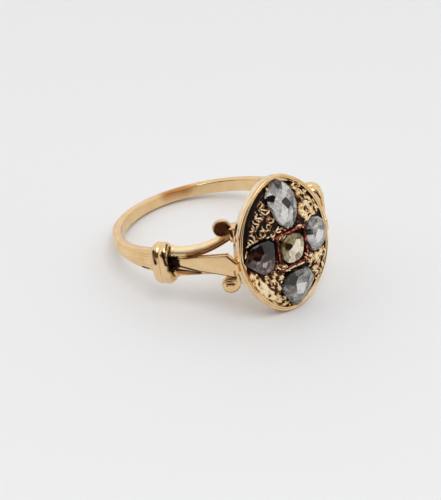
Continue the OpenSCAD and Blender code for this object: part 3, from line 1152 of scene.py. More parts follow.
@dataclass
class Volute:
    """The round scroll at a branch's end, with the neck that joins it to the head.

    Attributes:
        widen: How much wider than high the disc is.
        rim_swells: Where the rim is wider: by how much, its angle, and the angles over which that fades.
        foot: Share of the radius at the disc's base, and height where it is full.
        dash_ends: Distances from the dashes' middle between which they run out.
    """

    side: Side
    level: Level
    bore_r: float
    angle: float = 30.4
    height: float = 2.74
    radius: float = 0.78
    widen: float = 1.08
    face: float = 1.0
    thick: float = 0.55
    cup: float = 0.34
    rim_w: float = 0.08
    rim_slope: float = 0.1
    rim_swells: tuple[tuple[float, float, float, float], ...] = (
        (0.14, 62.0, 20.0, 80.0), (-0.3, -38.0, 12.0, 40.0))
    dome: float = 0.06
    edge_r: float = 0.07
    edge_arc: Pair = (15.0, 80.0)
    foot: Pair = (0.93, 0.05)
    spokes: int = 96
    edge_points: int = 4
    face_rings: int = 34
    hub: float = 0.03
    neck_from: float = 19.6
    neck_to: float = 27.4
    neck_low: float = 1.45
    neck_high: float = 2.75
    neck_thick: float = 1.45
    neck_sunk: float = 0.02
    neck_corner_r: float = 0.1
    neck_reeds: int = 4
    reed_h: float = 0.06
    neck_stations: int = 33
    dash_at: Pair = (-0.14, 0.16)
    dash_pitch: float = 0.2
    dash_slope: float = 0.12
    dash_ends: Pair = (0.26, 0.36)
    dash_half_w: float = 0.065
    dash_depth: float = 0.07

    def frame(self) -> Matrix:
        """Gives the disc's own frame.

        Returns:
            A frame with x towards the head, y up and z out from the finger.
        """
        turn = Matrix.Rotation(math.radians(self.side.value * self.angle), 4, "Z")
        axes = Matrix(((0, 0, 1), (-self.side.value, 0, 0), (0, 1, 0))).to_4x4()
        lift = Matrix.Translation((self.bore_r + self.face - self.thick, 0, self.level.value * self.height))
        return turn @ lift @ axes

    def face_height(self, x: float, y: float) -> float:
        """Gives the height of the disc's face at a place on it.

        Args:
            x: Place towards the head.
            y: Place along the finger.

        Returns:
            Height over the disc's base.
        """
        away = math.hypot(x, y)
        if self.level is Level.UPPER:
            turn = math.degrees(math.atan2(y, x))
            rim = self.rim_w
            for wider, middle, full, gone in self.rim_swells:
                rim += wider * (1 - ease(abs(turn - middle), full, gone))
            return self.thick - self.cup * ease(self.radius - away, rim, rim + self.rim_slope)
        height = self.thick - self.dome * (away / self.radius) ** 2
        dash_x, dash_y = self.dash_at
        inside = 1 - ease(abs(x - dash_x), *self.dash_ends)
        for index in (-1, 0, 1):
            line = abs(y - dash_y + index * self.dash_pitch + self.dash_slope * x)
            height -= self.dash_depth * inside * max(0.0, 1 - line / self.dash_half_w)
        return height

    def disc(self, bm: Shape) -> None:
        """Draws the disc from its base, over its edge, to the middle of its face.

        Args:
            bm: The bmesh to draw in.
        """
        frame_at = self.frame()
        side, shoulder = self.radius - self.edge_r, self.thick - self.edge_r
        rings = [(self.foot[0], 0.0), (1.0, self.foot[1]), (1.0, shoulder)]
        rings += [(x / self.radius, z)
                  for x, z in arc((side, shoulder), self.edge_r, *self.edge_arc, self.edge_points)]
        start = 1 - 0.9 * self.edge_r / self.radius  # just inside the rounded edge
        rings += [(share, None) for share in steps(start, self.hub, self.face_rings)]
        loft(bm, [[self.spoke(frame_at, share, turn, rise) for turn in self.turns()]
                  for share, rise in rings])

    def turns(self) -> list[float]:
        """Gives the angles of the disc's spokes, in radians."""
        return [2 * math.pi * i / self.spokes for i in range(self.spokes)]

    def spoke(self, frame_at: Matrix, share: float, turn: float, rise: float | None) -> Vector:
        """Gives a point of the disc on one of its spokes.

        Args:
            frame_at: The disc's frame.
            share: Share of the radius.
            turn: Angle of the spoke, in radians.
            rise: Height over the base, or None on the face.

        Returns:
            The point.
        """
        x, y = self.radius * share * math.cos(turn), self.radius * share * math.sin(turn)
        return frame_at @ Vector((x * self.widen, y, self.face_height(x, y) if rise is None else rise))

    def neck(self, bm: Shape) -> None:
        """Draws the reeded neck.

        Args:
            bm: The bmesh to draw in.
        """
        corner = self.neck_corner_r
        inner = self.bore_r + self.neck_sunk + corner
        under, over = self.neck_low + corner, self.neck_high - corner
        stations = []
        for angle in steps(self.neck_from, self.neck_to, self.neck_stations):
            share = (angle - self.neck_from) / (self.neck_to - self.neck_from)
            reed = self.reed_h * abs(math.sin(math.pi * self.neck_reeds * share))
            outer = self.bore_r + self.neck_thick - self.reed_h + reed - corner
            corners = ((180, inner, under), (270, outer, under), (0, outer, over), (90, inner, over))
            loop = [point for start, x, z in corners
                    for point in arc((x, z), corner, start, start + 90, self.edge_points)]
            turn = self.side.value * angle
            stations.append([around_finger(turn, x, self.level.value * z) for x, z in loop])
        loft(bm, stations)

    def shape(self) -> Shape:
        """Draws the disc and the neck.

        Returns:
            The volute.
        """
        bm = bmesh.new()
        self.disc(bm)
        self.neck(bm)
        return bm


@dataclass
class KiteBlade:
    """The flat kite-shaped strip between the branches.

    Attributes:
        root: Reach and place across of its inner face where it leaves the collar.
        end: The same where it meets the head.
        outline: Place along the strip and height of each corner.
        drop: How far the near strip sits lower than the far one.
    """

    side: Side
    thick: float = 0.5
    root: Pair = (4.7, -8.14)
    end: Pair = (10.35, -5.42)
    outline: tuple[Pair, ...] = (
        (-1.3, -0.45), (0.1, -0.22), (2.45, -0.72), (5.8, -1.14), (6.27, -0.7), (6.27, 0.18),
        (5.38, 1.02), (2.2, 0.68), (0.33, 0.4), (-1.3, 0.35))
    drop: float = 0.12
    edge_r: float = 0.09

    def shape(self) -> Shape:
        """Draws the kite, gives it thickness and softens its edges.

        Returns:
            The blade.
        """
        bm = bmesh.new()
        run = Vector(self.end) - Vector(self.root)
        corners = [bm.verts.new((x, 0, z)) for x, z in self.outline]
        face = bmesh.ops.contextual_create(bm, geom=corners)["faces"][0]
        made = bmesh.ops.extrude_face_region(bm, geom=[face])["geom"]
        lifted = [item for item in made if isinstance(item, bmesh.types.BMVert)]
        bmesh.ops.translate(bm, verts=lifted, vec=(0, self.thick, 0))
        bmesh.ops.bevel(bm, geom=bm.edges[:], offset=self.edge_r, offset_type="OFFSET", segments=3,
                        profile=0.5, affect="EDGES", material=-1)
        turn = Matrix.Rotation(math.atan2(run.y, run.x), 4, "Z")
        drop = self.drop if self.side is Side.NEAR else 0.0
        place = Matrix.Translation((*self.root, -drop)) @ turn
        bmesh.ops.transform(bm, matrix=place, verts=bm.verts[:])
        if self.side is Side.FAR:
            bmesh.ops.transform(bm, matrix=Matrix.Scale(-1, 4, (0, 1, 0)), verts=bm.verts[:])
        return bm


@dataclass
class OvalOutline:
    """An oval of four arcs, two long sides and two tips.

    Attributes:
        bends: Angle, half angle and reach of each place where the rim is bent.
        worn: The same where its inner edge is worn.
    """

    length: float = 12.98
    width: float = 10.28
    tip_r: float = 3.14
    arc_points: int = 40
    bends: tuple[Triple, ...] = ((-48.0, 58.0, 0.27), (-145.0, 45.0, -0.14))
    worn: tuple[Triple, ...] = ((120.0, 70.0, 0.13), (-162.0, 70.0, -0.3))

    def bent(self, point: Pair, bend: float, wear: float) -> Pair:
        """Moves a point outwards where the rim is bent or worn.

        Args:
            point: Place across and along the head.
            bend: Share of the rim's bend.
            wear: Share of the wear of its inner edge.

        Returns:
            The moved point.
        """
        angle = math.degrees(math.atan2(point[1], point[0]))
        reach = 0.0
        for places, share in ((self.bends, bend), (self.worn, wear)):
            for middle, half, out in places:
                away = abs((angle - middle + 180) % 360 - 180)
                reach += share * out * (1 - ease(away, 0, half))
        size = math.hypot(*point)
        return point[0] * (1 + reach / size), point[1] * (1 + reach / size)

    def offset(self, grow: float, bend: float = 0.0, wear: float = 0.0) -> list[Pair]:
        """Gives the outline moved outwards.

        Args:
            grow: Distance outwards.
            bend: Share of the rim's bend.
            wear: Share of the wear of its inner edge.

        Returns:
            Points across and along the head.
        """
        a, b = self.length / 2, self.width / 2
        side_r = (a * a + b * b - 2 * a * self.tip_r) / (2 * (b - self.tip_r))
        tip_c, side_c = a - self.tip_r, side_r - b
        turn = math.degrees(math.atan2(tip_c, side_c))
        side = arc((-side_c, 0), side_r + grow, -turn, turn, self.arc_points + 1)[:-1]
        tip = arc((0, tip_c), self.tip_r + grow, turn, 180 - turn, self.arc_points + 1)[:-1]
        line = side + tip + [(-x, -y) for x, y in side] + [(-x, -y) for x, y in tip]
        return [self.bent(point, bend, wear) for point in line]


@dataclass
class HeadBox:
    """The oval box of the head: its closed back and wall, and its rim with the recess inside.

    Attributes:
        floor_at: Reach of the recess's floor.
        foot_line: Offset from the outline, height over the back and bend, up the foot.
        wall_line: Offset, depth under the rim and bend, up the wall.
        inner_line: Offset, depth under the recess's floor and bend, inside the wall.
        lip_line: Offset, depth under the rim and bend, under the lip.
        lip_arcs: Offset, depth, radius and end angles of the lip's and the rim's rounds.
        rim_line: Offset, depth under the rim, bend and wear, over the grooved rim.
    """

    oval: OvalOutline
    back_at: float = 9.2
    front_at: float = 10.51
    floor_at: float = 9.45
    foot_line: tuple[Triple, ...] = (
        (-0.4, 0.0, 0.0), (-0.36, 0.02, 0.0), (-0.34, 0.07, 0.0), (-0.34, 0.32, 0.2), (-0.28, 0.38, 0.3),
        (-0.19, 0.4, 0.3), (-0.14, 0.46, 0.4))
    wall_line: tuple[Triple, ...] = ((-0.14, 0.55, 0.8), (-0.18, 0.4, 0.9), (-0.28, 0.4, 0.9))
    inner_line: tuple[Triple, ...] = ((-0.4, 0.1, 0.9),)
    lip_line: tuple[Triple, ...] = ((-0.3, 0.42, 0.9), (-0.16, 0.47, 0.9))
    lip_arcs: tuple[tuple[float, ...], ...] = (
        (-0.14, 0.31, 0.14, -80.0, 0.0), (-0.13, 0.14, 0.13, 15.0, 100.0))
    arc_points: int = 6
    rim_line: tuple[tuple[float, ...], ...] = (
        (-0.19, 0.03, 1.0, 0.1), (-0.21, 0.065, 1.0, 0.2), (-0.235, 0.03, 1.0, 0.3), (-0.27, 0.01, 1.0, 0.5),
        (-0.34, 0.01, 1.0, 0.8), (-0.38, 0.04, 1.0, 1.0), (-0.42, 0.12, 1.0, 1.0))

    def ring(self, line: Sequence[tuple[float, ...]]) -> Shape:
        """Sweeps a section round the oval.

        Args:
            line: Offset from the outline, distance from the finger's axis, bend and wear at each station.

        Returns:
            The swept shape.
        """
        bm = bmesh.new()
        loft(bm, [[Vector((reach, y, z)) for y, z in self.oval.offset(grow, *bent)]
                  for grow, reach, *bent in line])
        return bm

    def wall(self) -> Shape:
        """Draws the box from its back up its wall to under the rim, and down inside it.

        Returns:
            The box without its rim.
        """
        line = [(grow, self.back_at + up, bend) for grow, up, bend in self.foot_line]
        line += [(grow, self.front_at - down, bend) for grow, down, bend in self.wall_line]
        line += [(grow, self.floor_at - down, bend) for grow, down, bend in self.inner_line]
        return self.ring(line)

    def rim(self) -> Shape:
        """Draws the rim from under its lip, over its grooved top, down to the floor of the recess.

        Returns:
            The rim and the recess.
        """
        front = self.front_at
        line = [(grow, front - down, bend) for grow, down, bend in self.lip_line]
        for grow, down, *round_edge in self.lip_arcs:
            line += [(*point, 1.0) for point in arc((grow, front - down), *round_edge, self.arc_points)]
        line += [(grow, front - down, bend, wear) for grow, down, bend, wear in self.rim_line]
        line.append((line[-1][0], self.floor_at, *line[-1][2:]))
        return self.ring(line)


@dataclass
class Dome:
    """The rounded top of the plate, which carries the stones and the relief."""

    radius: float = 16.0
    top_at: float = 11.4

    def height(self, across: float, along: float) -> float:
        """Gives the dome's distance from the finger's axis at a place on it."""
        spread = across * across + along * along
        return self.top_at - self.radius + math.sqrt(self.radius ** 2 - spread)

    def frame(self, across: float, along: float) -> Matrix:
        """Gives a frame on the dome: x across, y along the head, z outwards.

        Args:
            across: Place across the head.
            along: Place along it.

        Returns:
            The frame.
        """
        face = Matrix(((0, 0, 1), (1, 0, 0), (0, 1, 0))).to_4x4()
        return (Matrix.Translation((self.top_at - self.radius, 0, 0))
                @ Matrix.Rotation(math.asin(across / self.radius), 4, "Z")
                @ Matrix.Rotation(-math.asin(along / self.radius), 4, "Y")
                @ Matrix.Translation((self.radius, 0, 0)) @ face)


@dataclass(frozen=True)
class StoneCut:
    """Place, outline and facets of one rose-cut stone.

    Attributes:
        name: Name of its CAD node.
        across: Place across the head.
        along: Place along it.
        slot: Material slot.
        rise: Height of its top over the plate.
        edge: Outline of its girdle in its own frame.
        facets: Middle of each facet in its own frame, and the facet's shade: its painted reflection, from
            dark to a glint.
    """

    name: str
    across: float
    along: float
    slot: Slot
    rise: float
    edge: tuple[Pair, ...]
    facets: tuple[Triple, ...]


STONES = (
    StoneCut("stone_top", 0.15, 3.84, Slot.GREY_STONE, 0.62, edge=(
        (0.11, 2.35), (0.63, 1.97), (1.18, 1.35), (1.49, 0.53), (1.49, -0.41), (1.19, -1.24), (0.76, -1.87),
        (0.22, -2.23), (-0.27, -2.2), (-0.71, -1.72), (-1.09, -0.99), (-1.24, -0.18), (-1.51, 0.48),
        (-1.49, 1.07), (-0.93, 1.75), (-0.34, 2.19)),
        facets=((0.1, 1.9, 0.22), (-0.8, 1.8, 0.5), (-1.3, 0.9, 0.05), (-1.3, 1.5, 0.95), (0.5, 1.3, 0.6),
        (0.5, 0.8, 0.62), (1.2, 0, 0.38), (0, 0.2, 0.12), (0.8, -0.6, 0.42), (-0.1, 0.9, 0.65),
        (-0.8, 0.1, 0.7), (-1.3, -0.5, 0.75), (-0.4, -0.8, 1), (-0.3, -0.4, 0.85), (-0.1, -1.5, 0.6),
        (0.2, -0.9, 0.62), (0.7, -1.4, 0.36), (-1.4, 0.5, 0.6))),
    StoneCut("stone_bottom", 0.43, -4.18, Slot.GREY_STONE, 0.6, edge=(
        (0.85, 1.49), (1.27, 1.32), (1.65, 0.89), (1.95, 0.31), (1.95, -0.29), (1.73, -0.8), (1.31, -1.07),
        (1.03, -1.71), (0.58, -1.94), (0.14, -2.18), (-0.21, -2.24), (-0.66, -1.74), (-1.08, -1.05),
        (-1.54, -0.36), (-1.68, 0.17), (-1.65, 0.77), (-1.52, 1.33), (-1.15, 1.63), (-0.48, 1.65),
        (0.31, 1.61)),
        facets=((0.1, 1.7, 0.3), (-0.8, 1.6, 0.1), (-1.3, 1.2, 0.08), (-1.4, 1.6, 0.12), (0.9, 1, 0.42),
        (0.1, 0.8, 0.5), (1.4, -0.1, 0.45), (0, 0.2, 0.78), (-0.2, -0.1, 0.82), (-0.8, -0.2, 0.45),
        (0.9, -0.8, 0.45), (-1.6, 0.5, 0.38), (-0.4, -1, 0.5), (-0.6, -1.5, 0.4), (1.2, -0.6, 0.4),
        (-1.9, 1.1, 0.2))),
    StoneCut("stone_left", -3.16, -0.14, Slot.DARK_STONE, 0.52, edge=(
        (-1.23, 1.08), (-0.75, 1.35), (-0.19, 1.45), (0.37, 1.49), (0.92, 1.45), (1.33, 1.09), (1.4, 0.43),
        (1.34, -0.29), (1.18, -0.92), (0.93, -1.33), (0.42, -1.51), (-0.14, -1.53), (-0.64, -1.09),
        (-1.15, -0.57), (-1.63, -0.12), (-1.45, 0.58)),
        facets=((0.8, 1.3, 0.02), (0.4, 1, 0.03), (-0.2, 1, 0.12), (-0.9, 0.9, 0.22), (-1.4, 0.4, 0.25),
        (-0.6, 0.5, 0.16), (1, 0.4, 0.05), (0.1, 0.1, 0.35), (0.4, -0.5, 0.5), (0, -0.4, 0.8),
        (-0.5, -0.3, 0.5), (0.6, -1.1, 0.5), (-0.3, -0.9, 0.45), (-1.1, -0.1, 0.35), (1, -0.4, 0.22),
        (0.6, 0.2, 0.1))),
    StoneCut("stone_right", 3.2, -0.02, Slot.GREY_STONE, 0.52, edge=(
        (-0.24, 1.54), (0.57, 1.36), (1.19, 0.82), (1.4, 0.15), (1.38, -0.52), (1.12, -1.08), (0.68, -1.47),
        (0.05, -1.68), (-0.52, -1.59), (-0.89, -1.14), (-1.19, -0.48), (-1.35, 0.22), (-1.18, 0.78),
        (-0.75, 1.28)),
        facets=((-0.3, 1.3, 0.42), (-0.8, 1, 0.4), (0.2, 0.6, 0.55), (0.9, 0.5, 0.4), (-0.1, 0.1, 0.95),
        (-0.1, -0.4, 0.9), (-1.1, 0.5, 0.28), (-1.2, 0, 0.8), (-1.4, 0, 0.95), (-0.8, -0.8, 0.6),
        (0.9, -0.5, 0.36), (0.1, -1.1, 0.4), (-1.1, -0.9, 0.35), (-0.4, 0.5, 0.6))),
    StoneCut("stone_centre", 0.12, -0.25, Slot.OLIVE_STONE, 0.55, edge=(
        (0.96, 1.06), (1.34, 0.6), (1.33, 0.04), (1.19, -0.57), (0.95, -1.11), (0.54, -1.35), (-0.1, -1.41),
        (-0.7, -1.24), (-1.1, -0.84), (-1.22, -0.15), (-1.16, 0.5), (-0.89, 0.97), (-0.36, 1.29),
        (0.34, 1.26)),
        facets=((0.6, 1.1, 0.3), (-0.6, 1, 0.4), (-0.1, 0.9, 0.5), (0.3, 0.4, 0.85), (-0.8, 0.5, 0.08),
        (0.1, -0.1, 1), (-0.4, -0.2, 0.85), (-1.1, -0.1, 0.45), (-1.1, 0.6, 0.35), (0.6, -0.4, 0.7),
        (0.2, -0.7, 0.55), (-0.5, -0.9, 0.9), (-0.9, -0.8, 0.45), (0.9, 0.1, 0.55))),
)


@dataclass
class RoseCutStone:
    """A stone cut facet by facet from a blank with the outline of its girdle.

    Attributes:
        merge_d: Distance under which a cut takes a corner for its own.
    """

    cut: StoneCut
    dome: Dome
    base_h: float = -0.3
    girdle_h: float = 0.08
    girdle_slope: float = 48.0
    merge_d: float = 1e-4
    shade_middle: float = 0.54
    shade_drift: float = 0.05
    shade_fall: float = 0.24
    contrast: float = 1.2

    def slice(self, bm: Shape, touch: Vector, normal: Vector) -> None:
        """Cuts one facet.

        Args:
            bm: The blank.
            touch: A point of the facet.
            normal: Its outward direction.
        """
        geom = bm.verts[:] + bm.edges[:] + bm.faces[:]
        made = bmesh.ops.bisect_plane(bm, geom=geom, dist=self.merge_d, plane_co=touch, plane_no=normal,
                                      clear_outer=True)["geom_cut"]
        edges = [item for item in made if isinstance(item, bmesh.types.BMEdge) and item.is_boundary]
        if edges:
            bmesh.ops.holes_fill(bm, edges=edges)

    def crown(self, bm: Shape) -> None:
        """Cuts the facets of a bowl-shaped top, each touching the bowl at the facet's middle.

        Args:
            bm: The blank.
        """
        rise = self.cut.rise - self.girdle_h
        half_w, half_l = (max(abs(p[axis]) for p in self.cut.edge) for axis in (0, 1))
        for x, y, _ in self.cut.facets:
            height = self.cut.rise - rise * ((x / half_w) ** 2 + (y / half_l) ** 2)
            tilt = Vector((2 * rise * x / half_w ** 2, 2 * rise * y / half_l ** 2, 1))
            self.slice(bm, Vector((x, y, height)), tilt.normalized())

    def girdle(self, bm: Shape) -> None:
        """Cuts a narrow slope along the girdle.

        Args:
            bm: The blank.
        """
        edge = [Vector((x, y, self.girdle_h)) for x, y in self.cut.edge]
        slope = math.radians(self.girdle_slope)
        for a, b in zip(edge, edge[1:] + edge[:1]):
            out = (b - a).cross(Vector((0, 0, 1))).normalized()
            if out.dot(a) < 0:
                out = -out
            normal = out * math.sin(slope) + Vector((0, 0, math.cos(slope)))
            reach = max(normal.dot(point) for point in edge)
            self.slice(bm, normal * reach, normal)

    def shade(self, bm: Shape) -> None:
        """Gives each corner of a facet the facet's painted reflection shade, with a slight drift and a
        painted fall of light across the facet.

        Args:
            bm: The cut stone.
        """
        layer = bm.loops.layers.float.new("tone")
        chance = random.Random(self.cut.name)
        for face in bm.faces:
            middle = face.calc_center_median()
            near = min(self.cut.facets, key=lambda f: math.hypot(middle.x - f[0], middle.y - f[1]))
            fall = Vector((chance.uniform(-1, 1), chance.uniform(-1, 1), 0)) * self.shade_fall
            shade = self.shade_middle + (near[2] - 0.5) * self.contrast
            for loop in face.loops:
                drift = chance.uniform(-1, 1) * self.shade_drift
                loop[layer] = shade + fall.dot(loop.vert.co - middle) + drift

    def shape(self) -> Shape:
        """Cuts the stone.

        Returns:
            The stone, shaded and in its place on the dome.
        """
        bm = bmesh.new()
        loft(bm, [[Vector((x, y, rise)) for x, y in self.cut.edge] for rise in (self.base_h, self.cut.rise)])
        bmesh.ops.recalc_face_normals(bm, faces=bm.faces)
        self.crown(bm)
        self.girdle(bm)
        self.shade(bm)
        bmesh.ops.transform(bm, matrix=self.dome.frame(self.cut.across, self.cut.along), verts=bm.verts[:])
        return bm


SCROLLS = (
    ((-1.98, 4.83), (-1.84, 4.48), (-2.02, 4.32), (-2.2, 4.19), (-1.93, 4.02), (-1.58, 3.88)),
    ((-2.43, 4.2), (-2.13, 3.84), (-1.89, 3.58), (-1.48, 3.68), (-1.34, 3.86), (-1.4, 4)),
    ((-2.78, 4.14), (-2.66, 3.84), (-2.86, 3.64), (-2.62, 3.48), (-2.28, 3.42), (-2.09, 3.5),
     (-2.41, 3.81)),
    ((-3.01, 3.62), (-2.76, 3.29), (-2.56, 3.15), (-2.35, 3.25), (-2.21, 3.42), (-2.47, 3.45),
     (-2.73, 3.56)),
    ((-3.21, 3.48), (-3.18, 3.22), (-2.93, 3.05), (-2.79, 2.98), (-3.07, 2.71), (-3.26, 2.54),
     (-3.31, 2.82), (-3.35, 3.12)), ((-3.48, 2.9), (-3.46, 2.58), (-3.82, 2.64)),
    ((-3.91, 2.32), (-3.65, 2.22), (-3.51, 1.97), (-3.51, 1.74), (-3.67, 1.57), (-3.87, 1.82),
     (-4.06, 1.96)), ((-4.17, 1.76), (-4.05, 1.59)),
    ((-4.43, 1.31), (-4, 1.49), (-3.61, 1.58), (-3.22, 1.61)),
    ((-4.42, 1.01), (-4.54, 0.69), (-4.68, 0.36)),
    ((-2.52, 2.75), (-2.52, 2.5), (-2.37, 2.28), (-2.15, 2.19), (-1.88, 2.25), (-1.71, 2.42),
     (-1.85, 2.66), (-2.1, 2.55), (-2.04, 2.34)),
    ((-3.24, 2.1), (-3.26, 1.91), (-3.06, 1.77), (-2.79, 1.75), (-2.5, 1.82), (-2.39, 2.01),
     (-2.52, 2.29), (-2.76, 2.33), (-2.9, 2.13), (-2.82, 1.87)),
    ((-1.82, 3.14), (-1.46, 3.05), (-1.24, 2.91), (-1.34, 2.73), (-1.57, 2.72), (-1.8, 2.82)),
    ((-0.89, 2.15), (-1.09, 1.94), (-1.26, 1.81), (-1.11, 1.63), (-0.86, 1.69), (-0.81, 1.87),
     (-1.03, 1.92)),
    ((-1.54, 1.98), (-1.46, 1.74), (-1.51, 1.53), (-1.74, 1.47), (-1.91, 1.67), (-1.73, 1.75)),
    ((-1.53, 1.51), (-1.65, 1.3), (-1.82, 1.16)),
    ((-1.13, 1.14), (-0.87, 1.27), (-0.52, 1.31), (-0.46, 1.11), (-0.67, 0.98), (-0.97, 1), (-1.11, 1.1)),
    ((-0.71, 1.97), (-0.47, 1.74), (-0.21, 1.53)),
    ((-0.04, 1.87), (0.1, 1.76), (0.03, 1.64), (-0.11, 1.75)),
    ((-2.47, 1.56), (-2.25, 1.57), (-2.03, 1.57)),
)

FLAKES = (
    ((-0.9, 5.69), (-0.89, 5.41)), ((2.05, 5.27), (2.11, 5.02), (1.71, 4.99)),
    ((2.21, 4.73), (2.63, 4.64), (2.55, 4.85)), ((2.38, 4.46), (2.56, 4.13), (2.69, 3.82)),
    ((2.86, 4.17), (3.15, 3.93), (2.82, 3.93)), ((3, 3.81), (3.11, 3.35), (3.41, 3.1)),
    ((2.26, 3.83), (2.5, 3.33), (2.71, 2.9), (2.95, 2.41), (3.24, 2.11)),
    ((2.71, 2.9), (2.35, 2.89), (2.02, 2.83)), ((3.17, 3.48), (3.33, 3.21), (3.22, 3.04)),
    ((3.78, 2.97), (3.8, 2.44), (4.23, 1.88)), ((1.88, 2.47), (2.27, 2.07), (2.79, 2.1), (3.21, 2.12)),
    ((2.1, 1.8), (2.39, 1.52), (2.75, 1.64), (3.11, 1.76), (3.64, 1.59)),
    ((2.28, 1.88), (2.09, 2.2), (1.8, 2.02)), ((3.44, 2.79), (2.96, 3.01), (2.8, 3.21)),
    ((1.75, -1.4), (2.1, -1.98), (2.55, -2.34), (2.37, -2.58)),
    ((1.46, -2.29), (1.97, -2.24), (2.1, -2.69), (1.88, -2.95)),
    ((2.86, -2.68), (3.24, -3.22), (3.07, -3.46), (3.6, -3.88)),
    ((3.59, -3.14), (3.9, -3.61), (3.67, -3.99), (3.28, -4.29)),
    ((4.16, -1.75), (4.02, -1.95), (4.35, -2.43), (4.15, -2.69), (3.83, -3.34)),
    ((3.15, -2.46), (3.5, -2.38), (3.97, -2.6)),
    ((2.35, -3.53), (2.91, -3.79), (3.14, -4.02), (2.7, -4.22)),
    ((2.83, -4.49), (3.1, -4.92), (2.78, -5.09)), ((2.72, -5.4), (2.35, -5.56), (2.03, -5.57)),
    ((2.57, -2.04), (2.88, -2.29)), ((3.43, -1.92), (3.64, -2.09)), ((3.28, -4.38), (3.21, -4.84)),
    ((-1.9, -1.6), (-1.8, -1.38), (-1.42, -1.53)),
    ((-1.36, -1.73), (-0.98, -1.99), (-0.76, -1.86), (-1.05, -1.45)),
    ((-2.2, -1.89), (-1.99, -2.11), (-1.8, -2.3)), ((-3.13, -1.87), (-2.86, -2.12), (-2.91, -2.32)),
    ((-2.51, -2.54), (-2.22, -2.8), (-2.15, -3.13)), ((-1.46, -2.43), (-1.23, -2.67), (-1.36, -2.88)),
    ((-1.84, -3.18), (-1.61, -3.54), (-1.53, -3.84), (-2.01, -3.61)),
    ((-2.61, -3.18), (-2.39, -3.23), (-2.16, -3.51)), ((-1.44, -2.96), (-1.41, -3.24)),
    ((-1.91, -4.41), (-1.59, -4.51), (-1.41, -4.82)), ((-1.26, -4.69), (-0.91, -4.95), (-1.06, -5.21)),
    ((-1.35, -5.52), (-0.84, -5.66), (-0.39, -5.54)), ((-1.96, -4.94), (-1.7, -4.74)),
    ((-3.09, -2.32), (-2.75, -2.75)), ((-0.44, -5.84), (-0.18, -6.12)),
)

GOLD_PATCHES = (
    (2.3, 4.6, 0.9), (3.1, 3.3, 0.9), (3.6, 2.3, 0.8), (2.2, 2.6, 0.7), (2.4, 1.7, 0.5), (2.2, -2.2, 0.6),
    (3.4, -2.3, 0.8), (3.2, -3.4, 0.8), (2.9, -4.6, 0.6), (4.1, -2.2, 0.5), (2.3, -5.5, 0.5),
    (-4.4, -1.8, 0.7), (-4.0, -2.6, 0.8), (-3.5, -3.3, 0.85), (-2.9, -4.1, 0.85), (-2.3, -4.8, 0.75),
    (-1.5, -5.4, 0.7), (-0.7, -5.9, 0.6), (-3.0, -2.1, 0.3), (-2.3, -2.8, 0.35), (-1.3, -2.7, 0.3),
    (-1.6, -3.6, 0.3),
)

PITS = (
    (1.83, 5.27), (2.7, 4.31), (2.68, 3.64), (1.95, 4.36), (2.15, 3.49), (3.12, 3), (3.37, 2.63),
    (2.48, 2.54), (3.71, 2.01), (2.83, 1.87), (2.01, 1.64), (2.39, 4.96), (2.9, 4.46), (1.62, -2.05),
    (3.77, -2.95), (3.3, -1.97), (2.57, -3.06), (1.83, -2.69), (3.04, -4.26), (2.87, -4.84), (3.65, -3.41),
    (2.95, -3.08), (4.18, -2.26), (2.49, -5.71), (1.43, -1.46), (-2.55, -2.05), (-3.26, -2.15),
    (-2.68, -2.97), (-2.3, -2.96), (-1.56, -3.03), (-1.96, -3.82), (-1.85, -3.41), (-1.35, -2.14),
    (-2.03, -4.14), (-1.27, -4.49), (-2.19, -4.85), (-1.04, -5.34), (-1.24, -5.69), (-1.56, -1.73),
    (-3.17, 3.7), (-3.58, 2.87), (-4.06, 2.2), (-2.49, 2.85), (-2.18, 2.55), (-2.97, 2.03), (-2.09, 1.85),
    (-1.28, 2.23), (-1.04, 1.41), (-2.64, 1.41), (-3.68, -2.49), (-3.9, -1.71), (-2.65, -4.12),
)


